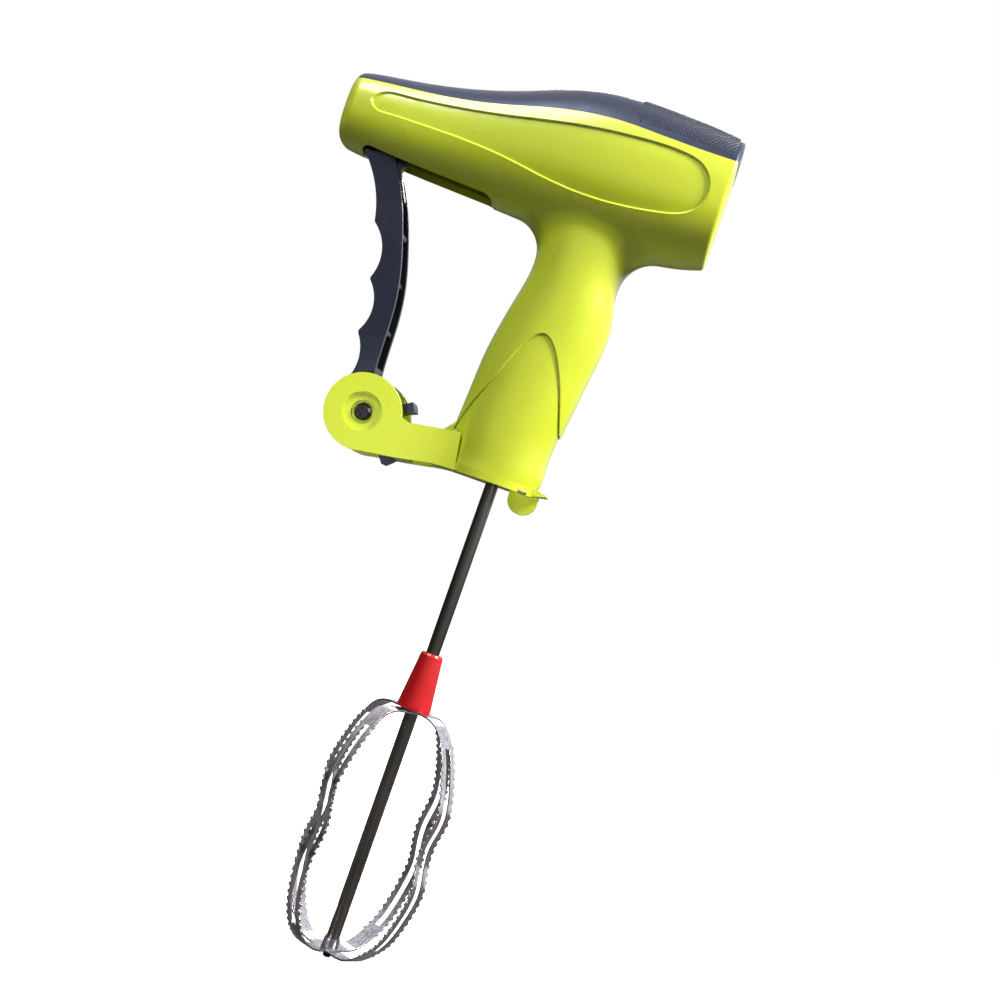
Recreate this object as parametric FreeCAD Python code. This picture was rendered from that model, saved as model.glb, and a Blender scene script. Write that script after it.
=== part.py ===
import FreeCAD, Part
import math
import os
from FreeCAD import Vector

# Hand blender driven by a squeeze lever.  Millimetres, +Z up, the drive shaft on the Z axis.
# The origin is the middle of the neck, where the palm holds it.  X runs along the barrel, with
# the finger lever on the -X side.  Y runs across, and the housing halves meet at Y = 0.

# ---- driving dimensions ------------------------------------------------------------------

WALL = 2.2                      # housing wall
BODY_BOTTOM = -46.8             # lower end of the housing halves
PLATE_THICK = 3.2               # green plate that closes the neck

# Barrel sections along X: station, underside Z, top Z, half width
BARREL = [
    (-106.4, 61.4, 90.8, 14.0),
    (-96.0, 59.8, 93.0, 15.0),
    (-80.0, 58.4, 94.9, 16.4),
    (-60.0, 57.3, 98.4, 18.0),
    (-38.0, 56.2, 104.6, 20.2),
    (-15.0, 54.5, 112.2, 22.4),
    (5.0, 53.8, 114.4, 23.6),
    (25.0, 54.3, 113.6, 24.0),
    (40.0, 56.2, 112.4, 23.8),
    (51.0, 59.2, 110.8, 23.0),
]
BARREL_POWER = 2.5              # 2 is an ellipse, larger is squarer

# Neck sections along Z: height, left X, right X, half width
NECK = [
    (BODY_BOTTOM, -22.0, 18.4, 17.2),
    (-36.0, -21.9, 19.0, 17.2),
    (-24.0, -21.6, 19.7, 17.2),
    (-12.0, -21.0, 21.2, 17.1),
    (0.0, -20.2, 22.6, 17.0),
    (10.0, -18.7, 23.9, 16.9),
    (20.0, -16.8, 24.6, 16.8),
    (28.0, -15.1, 23.8, 16.7),
    (36.0, -13.8, 22.0, 16.6),
    (46.0, -14.2, 22.6, 16.6),
    (56.0, -15.5, 24.5, 16.6),
    (66.0, -16.0, 25.0, 16.6),
    (76.0, -16.0, 25.0, 16.6),
]
NECK_POWER = 2.3
NECK_BLEND = 15.0               # blend radius between the neck and the barrel
END_ROUND = 4.5                 # rounding of the barrel's narrow end
REAR_ROUND = 1.6                # rounding of the barrel's wide end

# Seam between the green halves and the dark top cover, in side view
COVER_SEAM = [(-112, 86.2), (-85, 88.2), (-66, 89.4), (-44, 92.6), (-27, 96.2), (-9, 98.8),
              (3, 99.4), (15, 98.9), (33, 98.0), (54, 98.2)]

# Shallow panel on each side of the barrel, and the arched one on each side of the neck
PANEL_LINE = [(-94.9, 80.2), (-91.6, 83.0), (-83.5, 84.1), (-70, 84.8), (-55, 86.2), (-40, 88.1),
              (-25, 90.5), (-10, 92.6), (4, 93.9), (18, 94.6), (30, 94.2), (37.8, 92.0),
              (42.2, 87.4), (43.4, 82.2), (42.0, 77.0), (37.6, 73.0), (29, 70.4), (18, 68.8),
              (6, 68.0), (-7, 68.4), (-20, 70.0), (-34, 72.5), (-48, 74.3), (-62, 75.3),
              (-76, 75.8), (-88, 76.0), (-93.6, 77.2)]
PANEL_DEPTH = 0.9
ARCH_LINE = [(-23.5, -38), (-15.5, -19), (-9.4, -5.3), (-3.3, 7.4), (1.6, 11.4), (5.6, 9.0),
             (9.6, 3.0), (14.3, -7.8), (21.5, -30)]
ARCH_DEPTH = 0.7
PANEL_SLOPE = 0.8                # chamfer down into the barrel's panel
ARCH_SLOPE = 0.6                 # chamfer down into the neck's panel

# Slot in the barrel's underside, where the lever enters
SLOT_LEFT, SLOT_RIGHT, SLOT_HALF = -94.5, -37.5, 10.5
SLOT_ROUND = 4.0

# Screws that join the halves, as (x, z), and those of the bottom plate, as (x, y)
SCREW_SPOTS = [(-100, 79), (-72, 80), (32, 90), (38, 68), (14, 26), (-11, -20), (13, -22)]
PLATE_SCREWS = [(12, 10), (12, -10), (-13, 10.4), (-13, -10.4)]
POST_RADIUS = 3.4
AXLE_POST_RADIUS = 3.8
SCREW_CORE = 1.2
SCREW_HEAD = 2.7
HEAD_SEAT = 8.5                 # Y of the face that a housing screw's head bears on
HEAD_TALL = 1.8
SCREW_PLAY = 0.3                # radial play of a screw in the piece that it clamps
SCREW_DEPTH = 9.0               # how far a housing screw reaches into the front half
CROSS_LONG, CROSS_WIDE = 1.6, 0.5    # half sizes of a screw's cross recess
COVER_PLAY = 0.12               # between the cover's lip and the housing's inside
COVER_RIM = 1.2                 # the cover's wall is this much thicker than the housing's

# Lever, its pivot and the fork that carries it
PIVOT_X, PIVOT_Z = -57.0, -40.0
LEVER_HALF = 9.0
LEVER_WALL = 2.5
LEVER_TOP_RADIUS = 106.0        # the lever ends on this circle about its pivot
LEVER_TRAVEL = 20.0             # degrees
HUB_RADIUS = 13.0
FORK_INNER, FORK_OUTER = 9.8, 14.0
DISC_RADIUS = 15.6
SLEEVE_RADIUS = 3.0
PIVOT_CORE, PIVOT_HEAD = 1.5, 3.5
HEAD_FACE = 11.4                # Y of the seats of the pivot screw and nut
LUG_LOW = (-53.0, -39.8)        # angles of the lever's lower lug, resting on the fork's web
LUG_HIGH = (21.4, 32.5)         # angles of its upper lug, which stops the squeeze
LUG_REACH = (21.2, 19.6)        # radius of the lower and of the upper lug
LUG_ROOT, LUG_HALF = 9.0, 6.0    # inner radius and half width of a lug
LUG_PLAY = 0.6                  # degrees between a lug and the web at each end of the travel

# Side view of the lever: tops of the finger ridges, deepest points of the grooves, its smooth
# back, and the room inside its channel
RIDGES = [(-92.4, 59.6), (-79.2, 34.0), (-73.4, 11.7), (-70.8, -9.8), (-68.6, -30.0)]
GROOVES = [(-83.3, 46.6), (-71.9, 21.3), (-68.1, 0.7), (-66.8, -18.6)]
LEVER_BACK = [(-58.6, -24.0), (-59.4, -8.0), (-60.0, 4.0), (-61.9, 16.0), (-66.2, 31.0),
              (-72.2, 46.9), (-79.6, 60.2)]
CHANNEL = [(-86.0, 62), (-80.8, 50), (-74.6, 36), (-69.0, 24), (-65.4, 6), (-64.6, -8),
           (-63.6, -21), (-40, -21), (-40, 62)]
RIDGE_ROUND = 1.6               # rounding along the top of a ridge
LEVER_WEBS = [(32, -75.0, -67.4), (13, -69.0, -62.6), (-7, -67.0, -60.2)]    # z, left, right
WEB_THICK = 1.6
PINS = [(-83.0, 55.5), (-77.0, 46.5)]    # the pins that hold the toothed sector, as (x, z)
PIN_RADIUS = 1.5
PIN_Y = (-8.0, 9.0)             # they go in from the back, into blind holes

# Torsion spring in the hub
SPRING_START = 1.8
SPRING_MEAN = 6.2
SPRING_WIRE = 0.7
SPRING_PITCH = 1.75
SPRING_TURNS = 3.5
SPRING_ROOM = 9.0               # radius of the recess it lies in

# Gear train, module 1
MODULE = 1.0
PRESSURE = math.radians(20.0)
ADDENDUM, DEDENDUM = 0.85, 1.2
BACKLASH = 0.20
SECTOR_TEETH = 224              # in a full circle about the lever's pivot
FIRST_PINION, FIRST_WHEEL = 16, 24
IDLER_TEETH = 36
CROWN_PINION, CROWN_TEETH = 12, 30
SHAFT_TEETH = 12
FIRST_ANGLE = 1.67              # the first axle stands this far to +X of the pivot, degrees
SECTOR_Y = (-6.4, -2.4)
SECTOR_INNER = 107.6            # radius of the sector's inner edge
SECTOR_FOOT = [(-92.0, 64.0), (-86.5, 57), (-80.6, 44), (-74.6, 42), (-71.0, 46),
               (-76.6, 57), (-73.6, 68.5)]
WHEEL_Y = (0.2, 3.8)
AXLE_RADIUS = 2.0
AXLE_END = 12.0                 # the axles reach this far to each side
RUNNING = 0.05                  # radial play of a running fit

# Drive shaft and whisk
SHAFT_RADIUS = 2.7
SHAFT_TOP = 79.9
BUSH_RADIUS = 4.0               # upper bush, in its collar
BUSH_Z = (75.0, 79.4)
LOWER_BUSH_RADIUS = 4.5
SEAT_TOP = -41.2                # top of the plate's boss and of the lower bush
SHAFT_SHOULDER = -240.6         # the rod steps down here
TIP_RADIUS = 1.7
TIP_END = -248.5
CAP_TOP, CAP_BOTTOM = -121.7, -144.8
STRIP_THICK = 0.8
STRIP_WIDTH = 8.6
STRIP_BOTTOM = -246.0
WHISK_TURN = -35.0              # rest angle of the first strip, degrees about Z
TOOTH_PITCH = 3.0
TOOTH_DEPTH = 0.9
TOOTH_SPAN = 9.0                # the teeth stop this far from a strip's two ends
SLOT_WIDTH = 3.4

# A strip's two arms: radius, and height as a share of the whisk from top to bottom
LEFT_ARM = [(6.0, 0.0), (12.8, 0.004), (18.2, 0.03), (22.4, 0.085), (26.2, 0.155), (30.2, 0.265),
            (31.6, 0.355), (29.2, 0.46), (28.9, 0.53), (31.0, 0.64), (30.0, 0.76), (26.2, 0.87),
            (20.8, 0.945), (14.8, 0.985), (9.0, 1.0)]
RIGHT_ARM = [(6.0, 0.0), (12.8, 0.004), (18.8, 0.03), (23.8, 0.085), (27.8, 0.155), (32.2, 0.265),
             (33.4, 0.35), (31.2, 0.45), (31.4, 0.52), (33.5, 0.63), (31.4, 0.74), (26.6, 0.86),
             (20.4, 0.935), (14.4, 0.983), (9.0, 1.0)]


# ---- small helpers -----------------------------------------------------------------------

def cyl_y(x, z, radius, y0, y1):
    return Part.makeCylinder(radius, y1 - y0, Vector(x, y0, z), Vector(0, 1, 0))


def cyl_z(x, y, radius, z0, z1):
    return Part.makeCylinder(radius, z1 - z0, Vector(x, y, z0))


def box(x0, x1, y0, y1, z0, z1):
    return Part.makeBox(x1 - x0, y1 - y0, z1 - z0, Vector(x0, y0, z0))


def polygon_prism(points, y0, y1):
    """Extrude a closed outline given as (x, z) across Y."""
    corners = [Vector(x, y0, z) for x, z in points]
    face = Part.Face(Part.makePolygon(corners + corners[:1]))
    return face.extrude(Vector(0, y1 - y0, 0))


def spline_through(points, closed=False):
    curve = Part.BSplineCurve()
    curve.interpolate(Points=points, PeriodicFlag=closed)
    return curve.toShape()


def polar(angle, radius, x=PIVOT_X, z=PIVOT_Z):
    """Point at an angle from +X towards +Z, in degrees, about (x, z)."""
    turn = math.radians(angle)
    return (x + radius * math.cos(turn), z + radius * math.sin(turn))


def pie(inner, outer, start, end, y0, y1):
    """Ring segment about the lever's pivot, with angles in degrees from +X towards +Z."""
    steps = max(2, int(abs(end - start) / 4))
    angles = [start + (end - start) * k / steps for k in range(steps + 1)]
    rim = [polar(a, outer) for a in angles]
    back = [polar(a, inner) for a in reversed(angles)]
    return polygon_prism(rim + back, y0, y1)


# ---- housing -----------------------------------------------------------------------------

def section(centre, across, up, half_across, half_up, power, start=0.0):
    """Closed smooth loop of a superellipse, begun at an angle from the first direction."""
    points = []
    count = 24
    for k in range(count):
        turn = start + 2 * math.pi * k / count
        c, s = math.cos(turn), math.sin(turn)
        a = half_across * math.copysign(abs(c) ** (2 / power), c)
        b = half_up * math.copysign(abs(s) ** (2 / power), s)
        points.append(centre + across * a + up * b)
    return Part.Wire(spline_through(points, closed=True))


def barrel_form(inset):
    sections = []
    last = len(BARREL) - 1
    for k, (x, low, high, half) in enumerate(BARREL):
        if k == 0:
            x += inset
        if k == last:
            x -= inset
        centre = Vector(x, 0, (low + high) / 2)
        sections.append(section(centre, Vector(0, 1, 0), Vector(0, 0, 1),
                                half - inset, (high - low) / 2 - inset, BARREL_POWER,
                                start=math.pi / 2))
    form = Part.makeLoft(sections, True, False)
    narrow_end = [e for e in form.Edges if e.BoundBox.XMax < BARREL[0][0] + inset + 0.1]
    return form.makeFillet(END_ROUND - max(inset, 0), narrow_end)


def neck_form(inset):
    sections = []
    for z, left, right, half in NECK:
        centre = Vector((left + right) / 2, 0, z)
        sections.append(section(centre, Vector(1, 0, 0), Vector(0, 1, 0),
                                (right - left) / 2 - inset, half - inset, NECK_POWER))
    return Part.makeLoft(sections, True, False)


def housing_form(inset):
    """Barrel and neck in one solid, moved inwards by the inset."""
    return barrel_form(inset).fuse(neck_form(inset))


def outer_form():
    """The housing's outside: blended where the neck meets the barrel."""
    form = housing_form(0)
    joint = [e for e in form.Edges
             if e.BoundBox.ZMin > 50 and e.BoundBox.ZMax < 75 and e.BoundBox.YLength > 20]
    form = form.makeFillet(NECK_BLEND, joint)
    rear = [e for e in form.Edges if e.BoundBox.XMin > BARREL[-1][0] - 0.1]
    return form.makeFillet(REAR_ROUND, rear)


def above_seam(drop=0.0, top=140.0):
    """Everything above the cover's seam, lowered by the drop."""
    line = spline_through([Vector(x, -40, z - drop) for x, z in COVER_SEAM])
    start = Vector(COVER_SEAM[0][0], -40, COVER_SEAM[0][1] - drop)
    end = Vector(COVER_SEAM[-1][0], -40, COVER_SEAM[-1][1] - drop)
    over_start = Vector(start.x, -40, top)
    over_end = Vector(end.x, -40, top)
    sides = Part.makePolygon([end, over_end, over_start, start])
    face = Part.Face(Part.Wire([line] + sides.Edges))
    return face.extrude(Vector(0, 80, 0))


def barrel_panel():
    """What is cut for the shallow panel on each side of the barrel."""
    loop = spline_through([Vector(x, -40, z) for x, z in PANEL_LINE], closed=True)
    prism = Part.Face(Part.Wire(loop)).extrude(Vector(0, 80, 0))
    return prism.cut(barrel_form(PANEL_DEPTH))


def neck_panel():
    """What is cut for the shallow arched panel on each side of the neck."""
    arch = spline_through([Vector(x, -40, z) for x, z in ARCH_LINE])
    first, last = ARCH_LINE[0], ARCH_LINE[-1]
    low = BODY_BOTTOM - 1
    left = Vector(first[0], -40, low)
    right = Vector(last[0], -40, low)
    base = Part.makePolygon([Vector(last[0], -40, last[1]), right, left,
                             Vector(first[0], -40, first[1])])
    face = Part.Face(Part.Wire([arch] + base.Edges))
    return face.extrude(Vector(0, 80, 0)).cut(neck_form(ARCH_DEPTH))


def axle_post(x, z, face, side):
    """Tube that holds an axle's end, from the wall to its face.  Side is -1 front, +1 back."""
    reach = (face, 30) if side > 0 else (-30, face)
    hole = (face - 1, AXLE_END + RUNNING) if side > 0 else (-AXLE_END - RUNNING, face + 1)
    return cyl_y(x, z, AXLE_POST_RADIUS, *reach), cyl_y(x, z, AXLE_RADIUS, *hole)


def bush_carrier():
    """Collar and rib of the front half that hold the shaft's upper bush."""
    collar = cyl_z(0, 0, BUSH_RADIUS + 1.0, *BUSH_Z)
    rib = box(-3.5, 3.5, -26, -3.5, *BUSH_Z)
    return collar.fuse(rib)


def with_panels(outer):
    """The outside with the shallow panels cut in and their rims sloped."""
    form = outer.cut([barrel_panel(), neck_panel()]).Solids[0]
    for low, high, slope in ((50, 120, PANEL_SLOPE), (-60, 50, ARCH_SLOPE)):
        rims = [e for e in form.Edges
                if low < e.BoundBox.ZMin and e.BoundBox.ZMax < high and on_rim(form, e)]
        form = form.makeChamfer(slope, rims)
    return form


def on_rim(form, edge):
    """True for an edge between the skin and a panel's wall, on the skin's side of the wall."""
    kinds = sorted(f.Surface.TypeId for f in form.ancestorsOfType(edge, Part.Face))
    if kinds != ["Part::GeomBSplineSurface", "Part::GeomSurfaceOfExtrusion"]:
        return False
    walls = [f for f in form.ancestorsOfType(edge, Part.Face)
             if f.Surface.TypeId == "Part::GeomSurfaceOfExtrusion"]
    reach = max(abs(edge.BoundBox.YMin), abs(edge.BoundBox.YMax))
    limit = max(abs(walls[0].BoundBox.YMin), abs(walls[0].BoundBox.YMax))
    return edge.Length > 60 and reach > limit - 0.05


def half_details(side, inside):
    """What one half gains and loses inside: posts for the axles and the screws."""
    gains = []
    losses = []
    for (x, z), front_face, back_face in AXLES:
        post, hole = axle_post(x, z, back_face if side > 0 else front_face, side)
        gains.append(post)
        losses.append(hole)
    reach = (0, 30) if side > 0 else (-30, 0)
    for x, z in SCREW_SPOTS:
        gains.append(cyl_y(x, z, POST_RADIUS, *reach))
        if side > 0:
            losses.append(cyl_y(x, z, SCREW_CORE + SCREW_PLAY, -1, 40))
            losses.append(cyl_y(x, z, SCREW_HEAD + SCREW_PLAY, HEAD_SEAT, 40))
        else:
            losses.append(cyl_y(x, z, SCREW_CORE, -SCREW_DEPTH - RUNNING, 1))
    for x, y in PLATE_SCREWS:
        if y * side > 0:
            gains.append(cyl_z(x, y, 3.2, BODY_BOTTOM, -37))
            losses.append(cyl_z(x, y, SCREW_CORE, BODY_BOTTOM - 1, -38.95))
    if side < 0:
        gains.append(bush_carrier())
        losses.append(cyl_z(0, 0, BUSH_RADIUS, 70, 84))
    inner = gains[0].multiFuse(gains[1:]).common(inside)
    return inner, losses


def housing_parts():
    """Front half, back half and top cover."""
    outer = outer_form()
    cavity = housing_form(WALL)
    shell = with_panels(outer).cut(cavity)
    slot = box(SLOT_LEFT, SLOT_RIGHT, -SLOT_HALF, SLOT_HALF, 50, 66)
    upright = [e for e in slot.Edges if e.BoundBox.ZLength > 10]
    slot = slot.makeFillet(SLOT_ROUND, upright)
    green = shell.cut([above_seam(), slot])
    inside = housing_form(WALL / 2)
    halves = []
    for side in (-1, 1):
        keep = box(-130, 70, -40, 0, -60, 140) if side < 0 else box(-130, 70, 0, 40, -60, 140)
        inner, losses = half_details(side, inside)
        inner = inner.cut(above_seam(drop=3.2))
        halves.append(green.common(keep).fuse(inner).cut(losses))
    crown = outer.cut(housing_form(WALL + COVER_RIM)).common(above_seam())
    lip = housing_form(WALL + COVER_PLAY).cut(housing_form(WALL + COVER_RIM))
    lip = lip.common(above_seam(drop=2.6)).cut(above_seam(drop=-1.0))
    cover = crown.fuse(lip)
    return halves[0], halves[1], cover


def housing_screws():
    screws = []
    for x, z in SCREW_SPOTS:
        shank = cyl_y(x, z, SCREW_CORE, -SCREW_DEPTH, HEAD_SEAT)
        head = cyl_y(x, z, SCREW_HEAD, HEAD_SEAT, HEAD_SEAT + HEAD_TALL)
        screw = shank.fuse(head)
        floor = HEAD_SEAT + HEAD_TALL / 2
        for wide, tall in ((CROSS_LONG, CROSS_WIDE), (CROSS_WIDE, CROSS_LONG)):
            recess = box(x - wide, x + wide, floor, floor + 3, z - tall, z + tall)
            screw = screw.cut(recess)
        screws.append(screw)
    return Part.makeCompound(screws)


# ---- bottom plate and fork ---------------------------------------------------------------

PLATE_BOTTOM = BODY_BOTTOM - PLATE_THICK
PLATE_SEAT = PLATE_BOTTOM + 1.1    # Z of the face that a plate screw's head bears on


def bottom_plate():
    z, left, right, half = NECK[0]
    outline = section(Vector((left + right) / 2, 0, PLATE_BOTTOM), Vector(1, 0, 0),
                      Vector(0, 1, 0), (right - left) / 2 - ARCH_DEPTH, half - ARCH_DEPTH,
                      NECK_POWER)
    plate = Part.Face(outline).extrude(Vector(0, 0, PLATE_THICK))
    beak = polygon_prism([(10, BODY_BOTTOM), (right, BODY_BOTTOM), (22.6, BODY_BOTTOM - 0.8),
                          (22.6, BODY_BOTTOM - 1.4), (12, PLATE_BOTTOM)], -7, 7)
    tongue = box(7.6, 19.6, -1.5, 1.5, -52.0, PLATE_BOTTOM + 1)
    tongue = tongue.fuse(cyl_y(13.6, -52.0, 6.0, -1.5, 1.5))
    seat = cyl_z(0, 0, 7.0, PLATE_BOTTOM, SEAT_TOP)
    rim = section(Vector((left + right) / 2, 0, BODY_BOTTOM), Vector(1, 0, 0), Vector(0, 1, 0),
                  (right - left) / 2 - WALL - 0.3, half - WALL - 0.3, NECK_POWER)
    core = section(Vector((left + right) / 2, 0, BODY_BOTTOM), Vector(1, 0, 0), Vector(0, 1, 0),
                   (right - left) / 2 - WALL - 1.8, half - WALL - 1.8, NECK_POWER)
    lip = Part.Face(rim).cut(Part.Face(core)).extrude(Vector(0, 0, 2.5))
    for x, y in PLATE_SCREWS:
        lip = lip.cut(cyl_z(x, y, 3.5, BODY_BOTTOM, -40))
    plate = plate.fuse([beak, tongue, seat, lip, fork_arm()])
    plate = plate.cut(cyl_z(0, 0, LOWER_BUSH_RADIUS, PLATE_BOTTOM - 1, SEAT_TOP + 1))
    for x, y in PLATE_SCREWS:
        plate = plate.cut(cyl_z(x, y, SCREW_CORE + SCREW_PLAY, PLATE_BOTTOM - 1, BODY_BOTTOM + 1))
        plate = plate.cut(cyl_z(x, y, SCREW_HEAD + SCREW_PLAY, PLATE_BOTTOM - 1, PLATE_SEAT))
    return plate.removeSplitter()


def fork_arm():
    """Arm and two discs that carry the lever, hollow from below and open for the lever's hub."""
    side = [(-52.5, -55.0), (-38, -52.9), (-24, PLATE_BOTTOM - 0.4), (-20, PLATE_BOTTOM),
            (-14.4, PLATE_BOTTOM), (-17.0, -35.0), (-38, -38.2), (-44, -36.0),
            (PIVOT_X, PIVOT_Z)]
    arm = polygon_prism(side, -FORK_OUTER, FORK_OUTER)
    arm = arm.fuse(cyl_y(PIVOT_X, PIVOT_Z, DISC_RADIUS, -FORK_OUTER, FORK_OUTER))
    gusset = polygon_prism([(-30, -37), (-25.5, -35.2), (-21, -29.5), (-14, -29.5), (-14, -37)],
                           -2, 2)
    arm = arm.fuse(gusset)
    arm = arm.cut(box(-40, 30, -30, 30, BODY_BOTTOM, 0).common(neck_form(-0.1)))
    hub_room = cyl_y(PIVOT_X, PIVOT_Z, HUB_RADIUS + 0.8, -FORK_INNER, FORK_INNER)
    low_room = pie(0, LUG_REACH[0] + 1, -130, LUG_LOW[1] + LUG_PLAY, -FORK_INNER, FORK_INNER)
    high_edge = LUG_HIGH[0] - LEVER_TRAVEL - LUG_PLAY
    high_room = pie(0, LUG_REACH[1] + 1, high_edge, 100, -FORK_INNER, FORK_INNER)
    left_room = box(-80, PIVOT_X, -FORK_INNER, FORK_INNER, -60, -20)
    under = box(-36, -25, -FORK_OUTER + 2.4, FORK_OUTER - 2.4, -60, -42)
    arm = arm.cut([hub_room, low_room, high_room, left_room, under])
    for side_sign in (-1, 1):
        for radius, depth in ((8.0, FORK_OUTER - 1.2), (4.8, HEAD_FACE)):
            ends = sorted((side_sign * depth, side_sign * (FORK_OUTER + 1)))
            arm = arm.cut(cyl_y(PIVOT_X, PIVOT_Z, radius, *ends))
    return arm.cut(cyl_y(PIVOT_X, PIVOT_Z, SLEEVE_RADIUS + 0.02, -20, 20))


def plate_screws():
    screws = []
    for x, y in PLATE_SCREWS:
        shank = cyl_z(x, y, SCREW_CORE, PLATE_SEAT, -39)
        screw = shank.fuse(cyl_z(x, y, SCREW_HEAD, PLATE_BOTTOM, PLATE_SEAT))
        for wide, tall in ((CROSS_LONG, CROSS_WIDE), (CROSS_WIDE, CROSS_LONG)):
            screw = screw.cut(box(x - wide, x + wide, y - tall, y + tall,
                                  PLATE_BOTTOM - 1, PLATE_BOTTOM + 0.5))
        screws.append(screw)
    return Part.makeCompound(screws)


def pivot_screw():
    shank = cyl_y(PIVOT_X, PIVOT_Z, PIVOT_CORE, -HEAD_FACE, 7)
    head = cyl_y(PIVOT_X, PIVOT_Z, PIVOT_HEAD, -HEAD_FACE - 2.2, -HEAD_FACE)
    top = [e for e in head.Edges if e.BoundBox.YMax < -HEAD_FACE - 2]
    head = head.makeFillet(1.0, top)
    screw = shank.fuse(head)
    front = -HEAD_FACE - 3
    for wide, tall in ((2.0, 0.5), (0.5, 2.0)):
        screw = screw.cut(box(PIVOT_X - wide, PIVOT_X + wide, front, -HEAD_FACE - 0.9,
                              PIVOT_Z - tall, PIVOT_Z + tall))
    return screw


def pivot_nut():
    """Sleeve that the lever turns on, with a hexagonal head on the back."""
    sleeve = cyl_y(PIVOT_X, PIVOT_Z, SLEEVE_RADIUS, -HEAD_FACE, HEAD_FACE)
    hexagon = [polar(60 * k, 4.4) for k in range(6)]
    head = polygon_prism(hexagon, HEAD_FACE, HEAD_FACE + 2.2)
    return sleeve.fuse(head).cut(cyl_y(PIVOT_X, PIVOT_Z, PIVOT_CORE, -20, 7))


# ---- lever -------------------------------------------------------------------------------

def lever_outline():
    """Side view: four finger grooves between ridges, and a smooth back."""
    edges = []
    for k, groove in enumerate(GROOVES):
        start, end = RIDGES[k], RIDGES[k + 1]
        arc = Part.Arc(Vector(start[0], 0, start[1]), Vector(groove[0], 0, groove[1]),
                       Vector(end[0], 0, end[1]))
        edges.append(arc.toShape())
    low = RIDGES[-1]
    high = RIDGES[0]
    foot = [Vector(low[0], 0, low[1]), Vector(PIVOT_X, 0, PIVOT_Z),
            Vector(LEVER_BACK[0][0], 0, LEVER_BACK[0][1])]
    edges += Part.makePolygon(foot).Edges
    edges.append(spline_through([Vector(x, 0, z) for x, z in LEVER_BACK]))
    end = LEVER_BACK[-1]
    head = [Vector(end[0], 0, end[1]), Vector(end[0] - 2, 0, 70), Vector(high[0] - 1, 0, 70),
            Vector(high[0], 0, high[1])]
    edges += Part.makePolygon(head).Edges
    return Part.Face(Part.Wire(edges))


def on_ridge(edge):
    """True for the edge across the lever that runs along the top of a middle ridge."""
    middle = edge.BoundBox.Center
    return any(edge.BoundBox.YLength > LEVER_HALF and abs(middle.x - x) + abs(middle.z - z) < 0.1
               for x, z in RIDGES[1:-1])


def squeeze_lever():
    face = lever_outline()
    face.translate(Vector(0, -LEVER_HALF, 0))
    lever = face.extrude(Vector(0, 2 * LEVER_HALF, 0))
    tops = [e for e in lever.Edges if on_ridge(e)]
    lever = lever.makeFillet(RIDGE_ROUND, tops)
    lever = lever.common(cyl_y(PIVOT_X, PIVOT_Z, LEVER_TOP_RADIUS, -20, 20))
    inner = LEVER_HALF - LEVER_WALL
    lever = lever.cut(polygon_prism(CHANNEL, -inner, inner))
    for height, left, right in LEVER_WEBS:
        web = box(left, right, -inner - 0.5, inner + 0.5, height, height + WEB_THICK)
        lever = lever.fuse(web)
    hub = cyl_y(PIVOT_X, PIVOT_Z, HUB_RADIUS, -LEVER_HALF - 0.4, LEVER_HALF + 0.4)
    low_lug = pie(LUG_ROOT, LUG_REACH[0], *LUG_LOW, -LUG_HALF, LUG_HALF)
    high_lug = pie(LUG_ROOT, LUG_REACH[1], *LUG_HIGH, -LUG_HALF, LUG_HALF)
    lever = lever.fuse([hub, low_lug, high_lug])
    lever = lever.cut(cyl_y(PIVOT_X, PIVOT_Z, SLEEVE_RADIUS + RUNNING, -20, 20))
    lever = lever.cut(cyl_y(PIVOT_X, PIVOT_Z, SPRING_ROOM, SPRING_START - 0.6, 20))
    for x, z in PINS:
        lever = lever.cut(cyl_y(x, z, PIN_RADIUS, PIN_Y[0], 20))
    return lever.removeSplitter()


def lever_sector(lever):
    """Toothed arc on the lever, with a foot between the lever's walls."""
    middle = 90 - FIRST_ANGLE
    pitch = 360.0 / SECTOR_TEETH
    last = int(LEVER_TRAVEL / pitch) + 1
    first = -1
    outline = []
    for k in range(first, last + 1):
        outline += [polar(middle + k * pitch + a, r) for a, r in tooth_points(SECTOR_TEETH)]
    left = middle + (last + 0.5) * pitch
    right = middle + (first - 0.5) * pitch
    steps = 8
    under = [polar(left + (right - left) * k / steps, SECTOR_INNER) for k in range(steps + 1)]
    arc = polygon_prism(outline + under, *SECTOR_Y)
    sector = arc.fuse(polygon_prism(SECTOR_FOOT, *SECTOR_Y))
    inner = LEVER_HALF - LEVER_WALL
    for x, z in PINS:
        sector = sector.fuse(cyl_y(x, z, PIN_RADIUS + 1.2, -inner, inner))
    sector = sector.cut(lever)
    for x, z in PINS:
        sector = sector.cut(cyl_y(x, z, PIN_RADIUS, -20, 20))
    return sector


def sector_pins():
    pins = [cyl_y(x, z, PIN_RADIUS, *PIN_Y) for x, z in PINS]
    return Part.makeCompound(pins)


def return_spring():
    """Torsion spring about the pivot sleeve, in the hub's recess."""
    helix = Part.makeHelix(SPRING_PITCH, SPRING_PITCH * SPRING_TURNS, SPRING_MEAN)
    start = Vector(SPRING_MEAN, 0, 0)
    corners = [start + Vector(SPRING_WIRE * math.cos(math.pi * k / 3), 0,
                              SPRING_WIRE * math.sin(math.pi * k / 3)) for k in range(6)]
    ring = Part.makePolygon(corners + corners[:1])
    coil = Part.Wire(helix).makePipeShell([ring], True, True)
    coil.rotate(Vector(0, 0, 0), Vector(1, 0, 0), -90)
    coil.translate(Vector(PIVOT_X, SPRING_START + SPRING_WIRE, PIVOT_Z))
    return coil


# ---- gears -------------------------------------------------------------------------------

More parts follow.
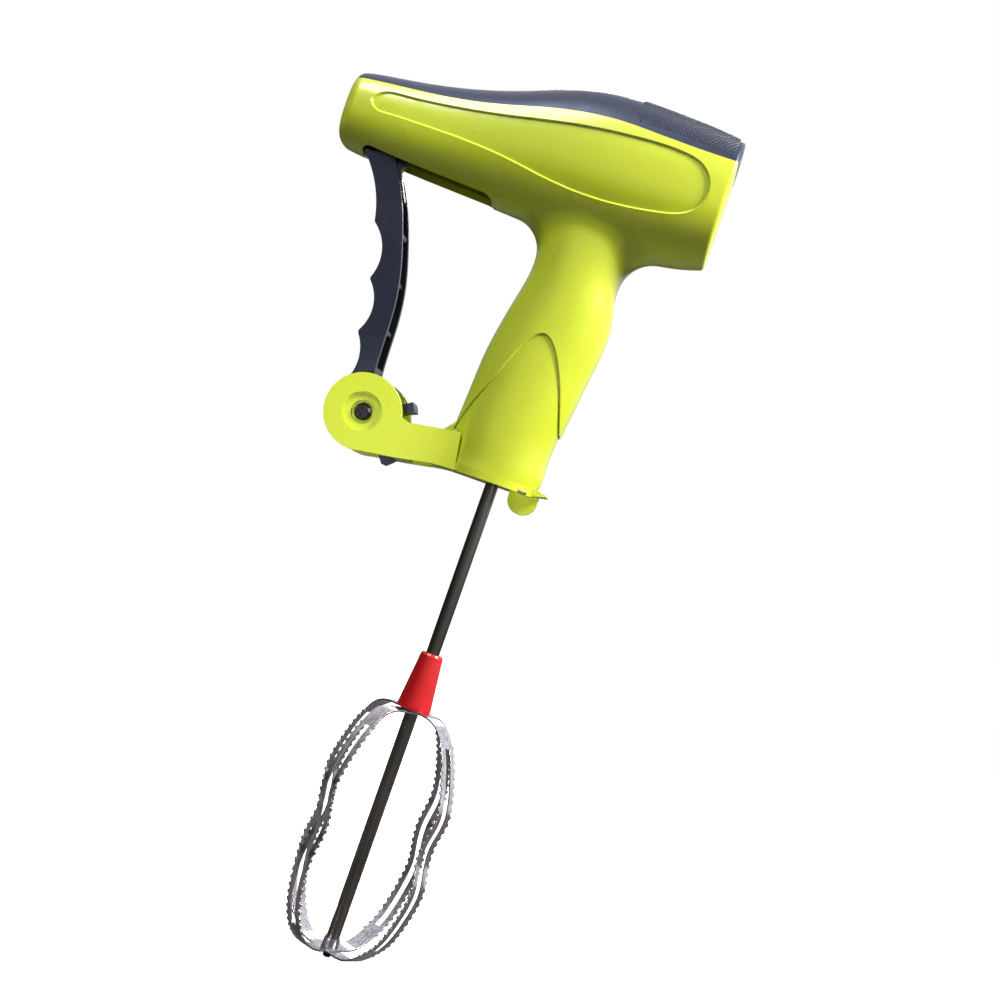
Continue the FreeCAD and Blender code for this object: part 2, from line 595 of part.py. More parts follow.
def tooth_points(teeth, thin=BACKLASH / 2):
    """One tooth of an external gear, centred on angle 0, as (degrees, radius), rising angle."""
    pitch_radius = teeth * MODULE / 2
    base = pitch_radius * math.cos(PRESSURE)
    tip = pitch_radius + ADDENDUM * MODULE
    root = pitch_radius - DEDENDUM * MODULE
    half_pitch = (math.pi * MODULE / 2 - thin) / 2 / pitch_radius
    involute_at_pitch = math.tan(PRESSURE) - PRESSURE
    flank = []
    start = max(base, root)
    for share in (0.0, 0.5, 1.0):
        radius = start + (tip - start) * share
        turn = math.acos(min(1.0, base / radius))
        half = half_pitch + involute_at_pitch - (math.tan(turn) - turn)
        flank.append((math.degrees(half), radius))
    foot = [(flank[0][0], root)] if root < start - 0.01 else []
    left = foot + flank
    return [(-a, r) for a, r in left] + [(a, r) for a, r in reversed(left)]


def gear_blank(teeth, centre, phase, y0, y1):
    """Toothed wheel about an axis along Y; phase is the angle of one tooth, in degrees."""
    outline = []
    for k in range(teeth):
        turn = phase + 360.0 * k / teeth
        outline += [polar(turn + a, r, *centre) for a, r in tooth_points(teeth)]
    return polygon_prism(outline, y0, y1)


def meshing_phase(angle, teeth_a, phase_a, teeth_b):
    """Phase of gear b, seen from gear a at the given angle, so that its gap takes a's tooth."""
    along = (angle - phase_a) * teeth_a / 360.0
    return angle + 180.0 - (360.0 / teeth_b) * (0.5 - along)


FIRST_CENTRE = polar(90 - FIRST_ANGLE, (SECTOR_TEETH + FIRST_PINION) * MODULE / 2)
TRAIN_LENGTH = (FIRST_WHEEL + 2 * IDLER_TEETH + CROWN_PINION) * MODULE / 2
TRAIN_ANGLE = math.degrees(math.acos(-FIRST_CENTRE[0] / TRAIN_LENGTH))
IDLER_CENTRE = polar(TRAIN_ANGLE, (FIRST_WHEEL + IDLER_TEETH) * MODULE / 2, *FIRST_CENTRE)
CROWN_CENTRE = polar(TRAIN_ANGLE, TRAIN_LENGTH, *FIRST_CENTRE)
SHAFT_PITCH = SHAFT_TEETH * MODULE / 2
CROWN_PITCH = CROWN_TEETH * MODULE / 2
CROWN_ROOT = SHAFT_PITCH + DEDENDUM        # Y of the crown gear's root plane
CROWN_BACK = CROWN_ROOT + 2.2
CROWN_PLAY = 0.6                           # extra width of the crown gear's tooth gaps
CROWN_FACE = (13.5, 16.5)                  # inner and outer radius of the crown teeth
AXLES = [(FIRST_CENTRE, -7.3, WHEEL_Y[1] + 0.4), (IDLER_CENTRE, -0.2, WHEEL_Y[1] + 0.4),
         (CROWN_CENTRE, -0.8, CROWN_BACK + 0.4)]


def spoke_holes(centre, ring, radius, count, y0, y1):
    return [cyl_y(*polar(360.0 * k / count + 15, ring, *centre), radius, y0, y1)
            for k in range(count)]


def first_gear():
    mesh_angle = 270 - FIRST_ANGLE
    pinion_phase = meshing_phase(mesh_angle - 180, SECTOR_TEETH, 90 - FIRST_ANGLE, FIRST_PINION)
    pinion = gear_blank(FIRST_PINION, FIRST_CENTRE, pinion_phase, SECTOR_Y[0] - 0.5, SECTOR_Y[1] + 0.5)
    wheel = gear_blank(FIRST_WHEEL, FIRST_CENTRE, TRAIN_ANGLE, *WHEEL_Y)
    neck = cyl_y(*FIRST_CENTRE, 5.5, SECTOR_Y[1], WHEEL_Y[0] + 1)
    gear = pinion.fuse([wheel, neck])
    gear = gear.cut(spoke_holes(FIRST_CENTRE, 7.6, 1.7, 6, WHEEL_Y[0] - 1, WHEEL_Y[1] + 1))
    return gear.cut(cyl_y(*FIRST_CENTRE, AXLE_RADIUS + RUNNING, -20, 20))


def idler_phase():
    return meshing_phase(TRAIN_ANGLE, FIRST_WHEEL, TRAIN_ANGLE, IDLER_TEETH)


def idler_gear():
    gear = gear_blank(IDLER_TEETH, IDLER_CENTRE, idler_phase(), *WHEEL_Y)
    gear = gear.cut(spoke_holes(IDLER_CENTRE, 10.4, 3.4, 6, WHEEL_Y[0] - 1, WHEEL_Y[1] + 1))
    return gear.cut(cyl_y(*IDLER_CENTRE, AXLE_RADIUS + RUNNING, -20, 20))


def crown_gear():
    """Pinion, disc and a ring of teeth that face the shaft."""
    phase = meshing_phase(TRAIN_ANGLE, IDLER_TEETH, idler_phase(), CROWN_PINION)
    pinion = gear_blank(CROWN_PINION, CROWN_CENTRE, phase, WHEEL_Y[0] - 0.4, WHEEL_Y[1] + 0.4)
    x, z = CROWN_CENTRE
    disc = cyl_y(x, z, CROWN_FACE[1], CROWN_ROOT, CROWN_BACK)
    hub = cyl_y(x, z, 4.6, WHEEL_Y[1], CROWN_ROOT + 1)
    tips = SHAFT_PITCH - ADDENDUM
    ring = cyl_y(x, z, CROWN_FACE[1], tips, CROWN_ROOT).cut(cyl_y(x, z, CROWN_FACE[0], 0, 20))
    half = (math.pi * MODULE / 2 + CROWN_PLAY) / 2
    wide = half + ADDENDUM * math.tan(PRESSURE)
    narrow = half - DEDENDUM * math.tan(PRESSURE)
    corners = [Vector(-wide, tips - 0.01, 0), Vector(wide, tips - 0.01, 0),
               Vector(narrow, CROWN_ROOT, 0), Vector(-narrow, CROWN_ROOT, 0)]
    gap = Part.Face(Part.makePolygon(corners + corners[:1])).extrude(Vector(0, 0, -20))
    gap.translate(Vector(x, 0, z))
    gaps = []
    for k in range(CROWN_TEETH):
        cut = gap.copy()
        cut.rotate(Vector(x, 0, z), Vector(0, 1, 0), 360.0 * k / CROWN_TEETH)
        gaps.append(cut)
    ring = ring.cut(gaps)
    gear = disc.fuse([hub, pinion, ring])
    return gear.cut(cyl_y(x, z, AXLE_RADIUS + RUNNING, -20, 20))


def axle(centre):
    return cyl_y(*centre, AXLE_RADIUS, -AXLE_END, AXLE_END)


def shaft_pinion():
    """Pinion pressed on the shaft; one tooth points along +Y, into the crown gear."""
    middle = CROWN_CENTRE[1] - CROWN_PITCH
    outline = []
    for k in range(SHAFT_TEETH):
        for a, r in tooth_points(SHAFT_TEETH):
            turn = math.radians(90 + 360.0 * k / SHAFT_TEETH + a)
            outline.append(Vector(r * math.cos(turn), r * math.sin(turn), middle - 2))
    face = Part.Face(Part.makePolygon(outline + outline[:1]))
    return face.extrude(Vector(0, 0, 4)).cut(cyl_z(0, 0, SHAFT_RADIUS, 0, 100))


# ---- shaft and whisk ---------------------------------------------------------------------

def drive_shaft():
    """Steel rod, stepped and peened over at the lower end."""
    profile = [(0, SHAFT_TOP), (SHAFT_RADIUS - 0.4, SHAFT_TOP), (SHAFT_RADIUS, SHAFT_TOP - 0.4),
               (SHAFT_RADIUS, SHAFT_SHOULDER), (TIP_RADIUS, SHAFT_SHOULDER),
               (TIP_RADIUS, STRIP_BOTTOM), (TIP_RADIUS + 0.6, STRIP_BOTTOM),
               (TIP_RADIUS + 0.5, STRIP_BOTTOM - 0.9), (TIP_RADIUS, STRIP_BOTTOM - 1.1),
               (TIP_RADIUS - 0.1, TIP_END + 0.4), (TIP_RADIUS - 0.5, TIP_END), (0, TIP_END)]
    corners = [Vector(r, 0, z) for r, z in profile]
    face = Part.Face(Part.makePolygon(corners + corners[:1]))
    return face.revolve(Vector(0, 0, 0), Vector(0, 0, 1), 360)


def bush(outer, z0, z1):
    return cyl_z(0, 0, outer, z0, z1).cut(cyl_z(0, 0, SHAFT_RADIUS + RUNNING, z0 - 1, z1 + 1))


def shaft_clip():
    """Open spring clip on the shaft, just above the lower bush."""
    clip = cyl_z(0, 0, 5.2, -40.7, -39.9).cut(cyl_z(0, 0, SHAFT_RADIUS, -42, -39))
    return clip.cut(box(-1.9, 1.9, 0, 8, -42, -39))


def hub_cap():
    """Red cone pressed on the rod above the whisk."""
    profile = [(SHAFT_RADIUS, CAP_TOP), (4.1, CAP_TOP), (4.6, CAP_TOP - 0.8), (6.9, CAP_BOTTOM + 1.2),
               (6.9, CAP_BOTTOM), (SHAFT_RADIUS, CAP_BOTTOM)]
    corners = [Vector(r, 0, z) for r, z in profile]
    face = Part.Face(Part.makePolygon(corners + corners[:1]))
    return face.revolve(Vector(0, 0, 0), Vector(0, 0, 1), 360)


def tip_collar():
    top = SHAFT_SHOULDER
    bottom = STRIP_BOTTOM + 2 * STRIP_THICK
    return cyl_z(0, 0, 3.4, bottom, top).cut(cyl_z(0, 0, TIP_RADIUS, bottom - 1, top + 1))


def arm_curve(arm, top, bottom, inward):
    """Smooth line of one arm, moved inwards along its normal."""
    drop = bottom - top
    line = spline_through([Vector(r, 0, top + drop * share) for r, share in arm])
    curve = line.Curve
    count = 24
    first, last = curve.FirstParameter, curve.LastParameter
    points = []
    for k in range(count + 1):
        at = first + (last - first) * k / count
        along = curve.tangent(at)[0]
        normal = Vector(along.z, 0, -along.x)
        points.append(curve.value(at) + normal * inward)
    return points


def strip_loop(top, bottom, inward):
    """Closed outline of a bent strip, both arms."""
    right = arm_curve(RIGHT_ARM, top, bottom, inward)
    left = [Vector(-p.x, 0, p.z) for p in reversed(arm_curve(LEFT_ARM, top, bottom, inward))]
    sides = [spline_through(right), spline_through(left)]
    low = Part.makeLine(right[-1], left[0])
    high = Part.makeLine(left[-1], right[0])
    return Part.Wire([sides[0], low, sides[1], high])


def strip_front(top, bottom):
    """Front view of a strip: toothed edges, narrow ends, and a long slot."""
    half = STRIP_WIDTH / 2
    narrow = half - TOOTH_DEPTH
    first = top - TOOTH_SPAN
    count = int((first - bottom - TOOTH_SPAN) / TOOTH_PITCH)
    edge = [(narrow, top + 1)]
    for k in range(count):
        z = first - k * TOOTH_PITCH
        edge += [(narrow, z), (half, z - TOOTH_PITCH * 0.2), (half, z - TOOTH_PITCH * 0.7),
                 (narrow, z - TOOTH_PITCH * 0.8)]
    edge.append((narrow, bottom - 1))
    other = [(-y, z) for y, z in reversed(edge)]
    corners = [Vector(-40, y, z) for y, z in edge + other]
    face = Part.Face(Part.makePolygon(corners + corners[:1]))
    sheet = face.extrude(Vector(80, 0, 0))
    slot_top = top - 10
    slot_bottom = bottom + 13
    slot = box(-50, 50, -SLOT_WIDTH / 2, SLOT_WIDTH / 2, slot_bottom, slot_top)
    for z in (slot_bottom, slot_top):
        end = Part.makeCylinder(SLOT_WIDTH / 2, 100, Vector(-50, 0, z), Vector(1, 0, 0))
        slot = slot.fuse(end)
    return sheet.cut(slot)


def whisk_strip(top, bottom, turn):
    """Steel strip bent to a loop with two arms, toothed along its edges."""
    outer = Part.Face(strip_loop(top, bottom, 0))
    band = outer.cut(Part.Face(strip_loop(top, bottom, STRIP_THICK)))
    band.translate(Vector(0, -STRIP_WIDTH / 2 - 1, 0))
    band = band.extrude(Vector(0, STRIP_WIDTH + 2, 0))
    strip = band.common(strip_front(top, bottom))
    strip = strip.cut(cyl_z(0, 0, SHAFT_RADIUS, top - 20, top + 5))
    strip = strip.cut(cyl_z(0, 0, TIP_RADIUS, bottom - 5, bottom + 5))
    strip.rotate(Vector(0, 0, 0), Vector(0, 0, 1), turn)
    return strip


# ---- write every node --------------------------------------------------------------------

def main():
    front, back, cover = housing_parts()
    lever = squeeze_lever()
    nodes = {
        "housing_front_half": front,
        "housing_back_half": back,
        "top_cover": cover,
        "bottom_plate": bottom_plate(),
        "housing_screws": housing_screws(),
        "plate_screws": plate_screws(),
        "pivot_screw": pivot_screw(),
        "pivot_nut": pivot_nut(),
        "squeeze_lever": lever,
        "lever_sector": lever_sector(lever),
        "sector_pins": sector_pins(),
        "return_spring": return_spring(),
        "first_gear": first_gear(),
        "first_axle": axle(FIRST_CENTRE),
        "idler_gear": idler_gear(),
        "idler_axle": axle(IDLER_CENTRE),
        "crown_gear": crown_gear(),
        "crown_axle": axle(CROWN_CENTRE),
        "shaft_pinion": shaft_pinion(),
        "drive_shaft": drive_shaft(),
        "upper_bush": bush(BUSH_RADIUS, *BUSH_Z),
        "lower_bush": bush(LOWER_BUSH_RADIUS, PLATE_BOTTOM, SEAT_TOP),
        "shaft_clip": shaft_clip(),
        "hub_cap": hub_cap(),
        "outer_blade": whisk_strip(CAP_BOTTOM, STRIP_BOTTOM, WHISK_TURN),
        "inner_blade": whisk_strip(CAP_BOTTOM - STRIP_THICK, STRIP_BOTTOM + STRIP_THICK,
                                   WHISK_TURN + 90),
        "tip_collar": tip_collar(),
    }
    os.makedirs("parts", exist_ok=True)
    for name, shape in nodes.items():
        shape.exportStep("parts/" + name + ".step")
        print(name, len(shape.Solids), shape.isValid(), round(shape.Volume / 1000, 2), "cm3")


main()
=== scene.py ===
import math

import bmesh
import bpy
from mathutils import Matrix, Vector


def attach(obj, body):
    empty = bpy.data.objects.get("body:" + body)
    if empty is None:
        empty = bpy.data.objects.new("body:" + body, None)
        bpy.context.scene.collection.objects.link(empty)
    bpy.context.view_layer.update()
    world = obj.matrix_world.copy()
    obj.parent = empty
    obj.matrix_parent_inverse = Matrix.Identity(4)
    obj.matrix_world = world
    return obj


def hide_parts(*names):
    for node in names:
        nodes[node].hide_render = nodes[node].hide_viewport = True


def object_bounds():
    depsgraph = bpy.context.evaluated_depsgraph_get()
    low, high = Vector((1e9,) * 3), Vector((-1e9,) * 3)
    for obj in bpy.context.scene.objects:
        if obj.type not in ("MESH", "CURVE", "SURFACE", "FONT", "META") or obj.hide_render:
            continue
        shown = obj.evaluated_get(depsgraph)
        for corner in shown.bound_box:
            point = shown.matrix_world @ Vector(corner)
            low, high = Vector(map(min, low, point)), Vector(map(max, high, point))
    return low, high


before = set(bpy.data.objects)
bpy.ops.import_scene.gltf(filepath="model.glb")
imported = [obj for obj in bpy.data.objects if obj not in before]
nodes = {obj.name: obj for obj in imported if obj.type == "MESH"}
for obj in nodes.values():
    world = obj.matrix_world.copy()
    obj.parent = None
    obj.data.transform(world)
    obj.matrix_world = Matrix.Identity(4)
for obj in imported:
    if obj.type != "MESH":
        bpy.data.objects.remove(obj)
cad_low, cad_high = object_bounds()


# ======================================================================================
# Housing halves
# Two glossy lime shells, injection moulded, that meet on the middle plane of the barrel
# and the neck.  Seven screws pull them together from the far side.
# ======================================================================================

def new_group(name, inputs, outputs):
    """An empty shader node group with named sockets, and its input and output nodes."""
    group = bpy.data.node_groups.new(name, "ShaderNodeTree")
    for label, kind, value in inputs:
        socket = group.interface.new_socket(label, in_out="INPUT", socket_type=kind)
        socket.default_value = value
    for label, kind in outputs:
        group.interface.new_socket(label, in_out="OUTPUT", socket_type=kind)
    return group, group.nodes.new("NodeGroupInput"), group.nodes.new("NodeGroupOutput")


def add_node(tree, kind, wires=(), **settings):
    """A node with its settings, and values or links for its inputs, given as (socket, source)."""
    node = tree.nodes.new(kind)
    for key, value in settings.items():
        setattr(node, key, value)
    for socket, source in wires:
        if isinstance(source, bpy.types.NodeSocket):
            tree.links.new(source, node.inputs[socket])
        else:
            node.inputs[socket].default_value = source
    return node


def make_moulded_grain():
    """Fine orange peel of a moulded surface, with a slow waviness under it."""
    group, given, out = new_group(
        "moulded_grain",
        [("Grain Scale", "NodeSocketFloat", 900.0), ("Grain Height", "NodeSocketFloat", 0.00001),
         ("Wave Scale", "NodeSocketFloat", 60.0), ("Wave Height", "NodeSocketFloat", 0.00003)],
        [("Normal", "NodeSocketVector")])
    place = add_node(group, "ShaderNodeTexCoord")
    grain = add_node(group, "ShaderNodeTexNoise", [
        ("Vector", place.outputs["Object"]), ("Scale", given.outputs["Grain Scale"]),
        ("Detail", 3.0)])
    wave = add_node(group, "ShaderNodeTexNoise", [
        ("Vector", place.outputs["Object"]), ("Scale", given.outputs["Wave Scale"]),
        ("Detail", 1.0)])
    slow = add_node(group, "ShaderNodeBump", [
        ("Distance", given.outputs["Wave Height"]), ("Height", wave.outputs["Fac"])])
    fine = add_node(group, "ShaderNodeBump", [
        ("Distance", given.outputs["Grain Height"]), ("Height", grain.outputs["Fac"]),
        ("Normal", slow.outputs["Normal"])])
    group.links.new(fine.outputs["Normal"], out.inputs["Normal"])
    return group


def make_colour_drift():
    """A slow drift between two close colours, and a handling mask for the roughness."""
    group, given, out = new_group(
        "colour_drift",
        [("Deep", "NodeSocketColor", (0.2, 0.2, 0.2, 1)),
         ("Pale", "NodeSocketColor", (0.3, 0.3, 0.3, 1)),
         ("Scale", "NodeSocketFloat", 14.0), ("Smooth", "NodeSocketFloat", 0.2),
         ("Dull", "NodeSocketFloat", 0.3)],
        [("Color", "NodeSocketColor"), ("Roughness", "NodeSocketFloat")])
    place = add_node(group, "ShaderNodeTexCoord")
    cloud = add_node(group, "ShaderNodeTexNoise", [
        ("Vector", place.outputs["Object"]), ("Scale", given.outputs["Scale"]),
        ("Detail", 4.0), ("Roughness", 0.55)])
    spread = add_node(group, "ShaderNodeMapRange", [
        ("Value", cloud.outputs["Fac"]), ("From Min", 0.3), ("From Max", 0.7)])
    tint = add_node(group, "ShaderNodeMix", [
        (0, spread.outputs["Result"]), (6, given.outputs["Deep"]), (7, given.outputs["Pale"])],
        data_type="RGBA")
    smear = add_node(group, "ShaderNodeTexNoise", [
        ("Vector", place.outputs["Object"]), ("Scale", 95.0), ("Detail", 5.0),
        ("Distortion", 0.6)])
    rough = add_node(group, "ShaderNodeMapRange", [
        ("Value", smear.outputs["Fac"]), ("From Min", 0.35), ("From Max", 0.75),
        ("To Min", given.outputs["Smooth"]), ("To Max", given.outputs["Dull"])])
    group.links.new(tint.outputs[2], out.inputs["Color"])
    group.links.new(rough.outputs["Result"], out.inputs["Roughness"])
    return group


moulded_grain = make_moulded_grain()
colour_drift = make_colour_drift()


def new_material(name):
    """A material with a Principled shader on its output; returns it, its tree and the shader."""
    material = bpy.data.materials.new(name)
    material.use_nodes = True
    tree = material.node_tree
    return material, tree, tree.nodes["Principled BSDF"]


def use_group(tree, group, **values):
    """A group in a material, its inputs given by name with _ for each space."""
    node = tree.nodes.new("ShaderNodeGroup")
    node.node_tree = group
    for key, value in values.items():
        node.inputs[key.replace("_", " ")].default_value = value
    return node


COAT_ROUGHNESS = 0.12


def moulded_plastic(name, deep, pale, smooth, dull, grain_height, coat=0.0,
                    sheen=(1, 1, 1, 1)):
    """A moulded plastic: two close tones, handled sheen, and orange peel."""
    material, tree, shader = new_material(name)
    drift = use_group(tree, colour_drift, Deep=deep, Pale=pale, Smooth=smooth, Dull=dull)
    grain = use_group(tree, moulded_grain, Grain_Height=grain_height)
    tree.links.new(drift.outputs["Color"], shader.inputs["Base Color"])
    tree.links.new(drift.outputs["Roughness"], shader.inputs["Roughness"])
    tree.links.new(grain.outputs["Normal"], shader.inputs["Normal"])
    shader.inputs["Specular Tint"].default_value = sheen
    shader.inputs["Coat Weight"].default_value = coat
    shader.inputs["Coat Roughness"].default_value = COAT_ROUGHNESS
    return material


def dress(name, material):
    """Gives a node of the CAD model its finish."""
    slots = nodes[name].material_slots
    for slot in slots:
        slot.material = material
    if not slots:
        nodes[name].data.materials.append(material)


lime_plastic = moulded_plastic("lime_plastic", (0.55, 0.66, 0.027, 1), (0.575, 0.685, 0.034, 1),
                               smooth=0.27, dull=0.31, grain_height=0.000004, coat=0.35)
for name in ("housing_front_half", "housing_back_half"):
    dress(name, lime_plastic)


# ======================================================================================
# Screws
# Zinc-plated pan heads with a cross recess and a coarse thread for plastic.  Seven close
# the housing, four hold the bottom plate, and a larger one is the lever's pivot.
# ======================================================================================

def make_drawn_grain():
    """Fine lines along one direction of drawn or rolled metal, with a cloudy tone."""
    group, given, out = new_group(
        "drawn_grain",
        [("Tone", "NodeSocketColor", (0.6, 0.6, 0.6, 1)),
         ("Dark", "NodeSocketColor", (0.3, 0.3, 0.3, 1)),
         ("Smooth", "NodeSocketFloat", 0.2), ("Dull", "NodeSocketFloat", 0.4),
         ("Grain", "NodeSocketFloat", 900.0), ("Stretch", "NodeSocketVector", (1, 1, 1)),
         ("Height", "NodeSocketFloat", 0.000008)],
        [("Color", "NodeSocketColor"), ("Roughness", "NodeSocketFloat"),
         ("Normal", "NodeSocketVector")])
    place = add_node(group, "ShaderNodeTexCoord")
    along = add_node(group, "ShaderNodeMapping", [
        ("Vector", place.outputs["Object"]), ("Scale", given.outputs["Stretch"])])
    lines = add_node(group, "ShaderNodeTexNoise", [
        ("Vector", along.outputs["Vector"]), ("Scale", given.outputs["Grain"]),
        ("Detail", 4.0), ("Roughness", 0.6)])
    spread = add_node(group, "ShaderNodeMapRange", [
        ("Value", lines.outputs["Fac"]), ("From Min", 0.32), ("From Max", 0.68)])
    tint = add_node(group, "ShaderNodeMix", [
        (0, spread.outputs["Result"]), (6, given.outputs["Dark"]), (7, given.outputs["Tone"])],
        data_type="RGBA")
    rough = add_node(group, "ShaderNodeMapRange", [
        ("Value", lines.outputs["Fac"]), ("From Min", 0.3), ("From Max", 0.7),
        ("To Min", given.outputs["Dull"]), ("To Max", given.outputs["Smooth"])])
    bump = add_node(group, "ShaderNodeBump", [
        ("Distance", given.outputs["Height"]), ("Height", lines.outputs["Fac"])])
    group.links.new(tint.outputs[2], out.inputs["Color"])
    group.links.new(rough.outputs["Result"], out.inputs["Roughness"])
    group.links.new(bump.outputs["Normal"], out.inputs["Normal"])
    return group


drawn_grain = make_drawn_grain()


def brushed_steel(name, tone, dark, smooth, dull, grain, stretch):
    """Drawn or rolled steel between two tones; stretch says which way its lines run."""
    material, tree, shader = new_material(name)
    lines = use_group(tree, drawn_grain, Tone=tone, Dark=dark, Smooth=smooth, Dull=dull,
                      Grain=grain, Stretch=stretch)
    shader.inputs["Metallic"].default_value = 1.0
    tree.links.new(lines.outputs["Color"], shader.inputs["Base Color"])
    tree.links.new(lines.outputs["Roughness"], shader.inputs["Roughness"])
    tree.links.new(lines.outputs["Normal"], shader.inputs["Normal"])
    return material


zinc_steel = brushed_steel("zinc_steel", (0.58, 0.57, 0.56, 1), (0.30, 0.29, 0.30, 1),
                           smooth=0.22, dull=0.42, grain=900.0, stretch=(1, 1, 1))


def new_shape_tree(name, inputs):
    """An empty Geometry Nodes tree whose sizes are named inputs."""
    tree = bpy.data.node_groups.new(name, "GeometryNodeTree")
    tree.interface.new_socket("Geometry", in_out="INPUT", socket_type="NodeSocketGeometry")
    for label, kind, value in inputs:
        socket = tree.interface.new_socket(label, in_out="INPUT", socket_type=kind)
        if value is not None:
            socket.default_value = value
    tree.interface.new_socket("Geometry", in_out="OUTPUT", socket_type="NodeSocketGeometry")
    return tree, tree.nodes.new("NodeGroupInput"), tree.nodes.new("NodeGroupOutput")


def place_object(name, data):
    """An object for a mesh, a light or a camera, linked to the scene."""
    placed = bpy.data.objects.new(name, data)
    bpy.context.scene.collection.objects.link(placed)
    return placed


def grow(base, tree, name, settings):
    """Runs a Geometry Nodes tree on an object and returns its result as a plain mesh object."""
    modifier = base.modifiers.new(tree.name, "NODES")
    modifier.node_group = tree
    for item in tree.interface.items_tree:
        if item.item_type == "SOCKET" and item.in_out == "INPUT" and item.name in settings:
            modifier[item.identifier] = settings[item.name]
    bpy.context.view_layer.update()
    graph = bpy.context.evaluated_depsgraph_get()
    mesh = bpy.data.meshes.new_from_object(base.evaluated_get(graph))
    base.modifiers.remove(modifier)
    made = place_object(name, mesh)
    bpy.data.objects.remove(base)
    mesh.name = name
    return made


MM = 0.001


def point_cloud(points):
    """A mesh of loose vertices that a tree puts its copies on."""
    mesh = bpy.data.meshes.new("spots")
    mesh.from_pydata([tuple(c * MM for c in p) for p in points], [], [])
    return place_object("spots", mesh)


def math_node(tree, operation, a, b=0.0):
    """Output of a Math node."""
    return add_node(tree, "ShaderNodeMath", [(0, a), (1, b)], operation=operation).outputs[0]


def make_cross_screw():
    """Pan head with a cross recess, shank and spiral thread; the head's seat is at each point."""
    tree, given, out = new_shape_tree("cross_screw", [
        ("Head Radius", "NodeSocketFloat", 0.0027), ("Head Height", "NodeSocketFloat", 0.0018),
        ("Shank Radius", "NodeSocketFloat", 0.0012), ("Length", "NodeSocketFloat", 0.017),
        ("Recess Reach", "NodeSocketFloat", 0.0016), ("Recess Width", "NodeSocketFloat", 0.0009),
        ("Recess Depth", "NodeSocketFloat", 0.0009), ("Thread Pitch", "NodeSocketFloat", 0.0011),
        ("Thread Height", "NodeSocketFloat", 0.0002), ("Turn", "NodeSocketVector", (0, 0, 0)),
        ("Finish", "NodeSocketMaterial", None)])
    size = given.outputs
    dome_share = 0.72       # the dome's flat top, of the head's radius
    thread_share = 0.7      # the threaded part, of the length
    thread_end = -0.98      # where the thread begins at the tip, of the length
    half = math_node(tree, "MULTIPLY", size["Head Height"], 0.5)

    def moved(mesh, height):
        shift = add_node(tree, "ShaderNodeCombineXYZ", [("Z", height)])
        return add_node(tree, "GeometryNodeTransform", [
            ("Geometry", mesh), ("Translation", shift.outputs[0])]).outputs[0]

    rim = add_node(tree, "GeometryNodeMeshCylinder", [
        ("Vertices", 40), ("Radius", size["Head Radius"]), ("Depth", half)])
    rim = moved(rim.outputs["Mesh"], math_node(tree, "MULTIPLY", size["Head Height"], 0.25))
    dome = add_node(tree, "GeometryNodeMeshCone", [
        ("Vertices", 40), ("Side Segments", 1),
        ("Radius Top", math_node(tree, "MULTIPLY", size["Head Radius"], dome_share)),
        ("Radius Bottom", size["Head Radius"]), ("Depth", half)])
    dome = moved(dome.outputs["Mesh"], half)
    head = add_node(tree, "GeometryNodeMeshBoolean", operation="UNION", solver="EXACT")
    tree.links.new(rim, head.inputs["Mesh 2"])
    tree.links.new(dome, head.inputs["Mesh 2"])
    cuts = []
    for long_x, long_y in (("Recess Reach", "Recess Width"), ("Recess Width", "Recess Reach")):
        sizes = []
        for key in (long_x, long_y):
            scale = 2.0 if key == "Recess Reach" else 1.0
            sizes.append(math_node(tree, "MULTIPLY", size[key], scale))
        block = add_node(tree, "ShaderNodeCombineXYZ", [
            ("X", sizes[0]), ("Y", sizes[1]),
            ("Z", math_node(tree, "MULTIPLY", size["Recess Depth"], 2.0))])
        cube = add_node(tree, "GeometryNodeMeshCube", [("Size", block.outputs[0])])
        cuts.append(moved(cube.outputs["Mesh"], size["Head Height"]))
    recessed = add_node(tree, "GeometryNodeMeshBoolean", [("Mesh 1", head.outputs["Mesh"])],
                        operation="DIFFERENCE", solver="EXACT")
    for cut in cuts:
        tree.links.new(cut, recessed.inputs["Mesh 2"])
    shank = add_node(tree, "GeometryNodeMeshCylinder", [
        ("Vertices", 24), ("Radius", size["Shank Radius"]), ("Depth", size["Length"])])
    shank = moved(shank.outputs["Mesh"], math_node(tree, "MULTIPLY", size["Length"], -0.5))
    turns = math_node(tree, "DIVIDE", size["Length"], size["Thread Pitch"])
    turns = math_node(tree, "MULTIPLY", turns, thread_share)
    spiral = add_node(tree, "GeometryNodeCurveSpiral", [
        ("Resolution", 16), ("Rotations", turns), ("Start Radius", size["Shank Radius"]),
        ("End Radius", size["Shank Radius"]),
        ("Height", math_node(tree, "MULTIPLY", size["Length"], thread_share))])
    flank = add_node(tree, "GeometryNodeCurvePrimitiveCircle", [
        ("Resolution", 3), ("Radius", size["Thread Height"])], mode="RADIUS")
    thread = add_node(tree, "GeometryNodeCurveToMesh", [
        ("Curve", spiral.outputs[0]), ("Profile Curve", flank.outputs[0]), ("Fill Caps", True)])
    thread = moved(thread.outputs[0], math_node(tree, "MULTIPLY", size["Length"], thread_end))
    joined = add_node(tree, "GeometryNodeJoinGeometry")
    for piece in (recessed.outputs["Mesh"], shank, thread):
        tree.links.new(piece, joined.inputs[0])
    copies = add_node(tree, "GeometryNodeInstanceOnPoints", [
        ("Points", given.outputs["Geometry"]), ("Instance", joined.outputs[0]),
        ("Rotation", size["Turn"])])
    real = add_node(tree, "GeometryNodeRealizeInstances", [("Geometry", copies.outputs[0])])
    coated = add_node(tree, "GeometryNodeSetMaterial", [
        ("Geometry", real.outputs[0]), ("Material", size["Finish"])])
    tree.links.new(coated.outputs[0], out.inputs[0])
    return tree


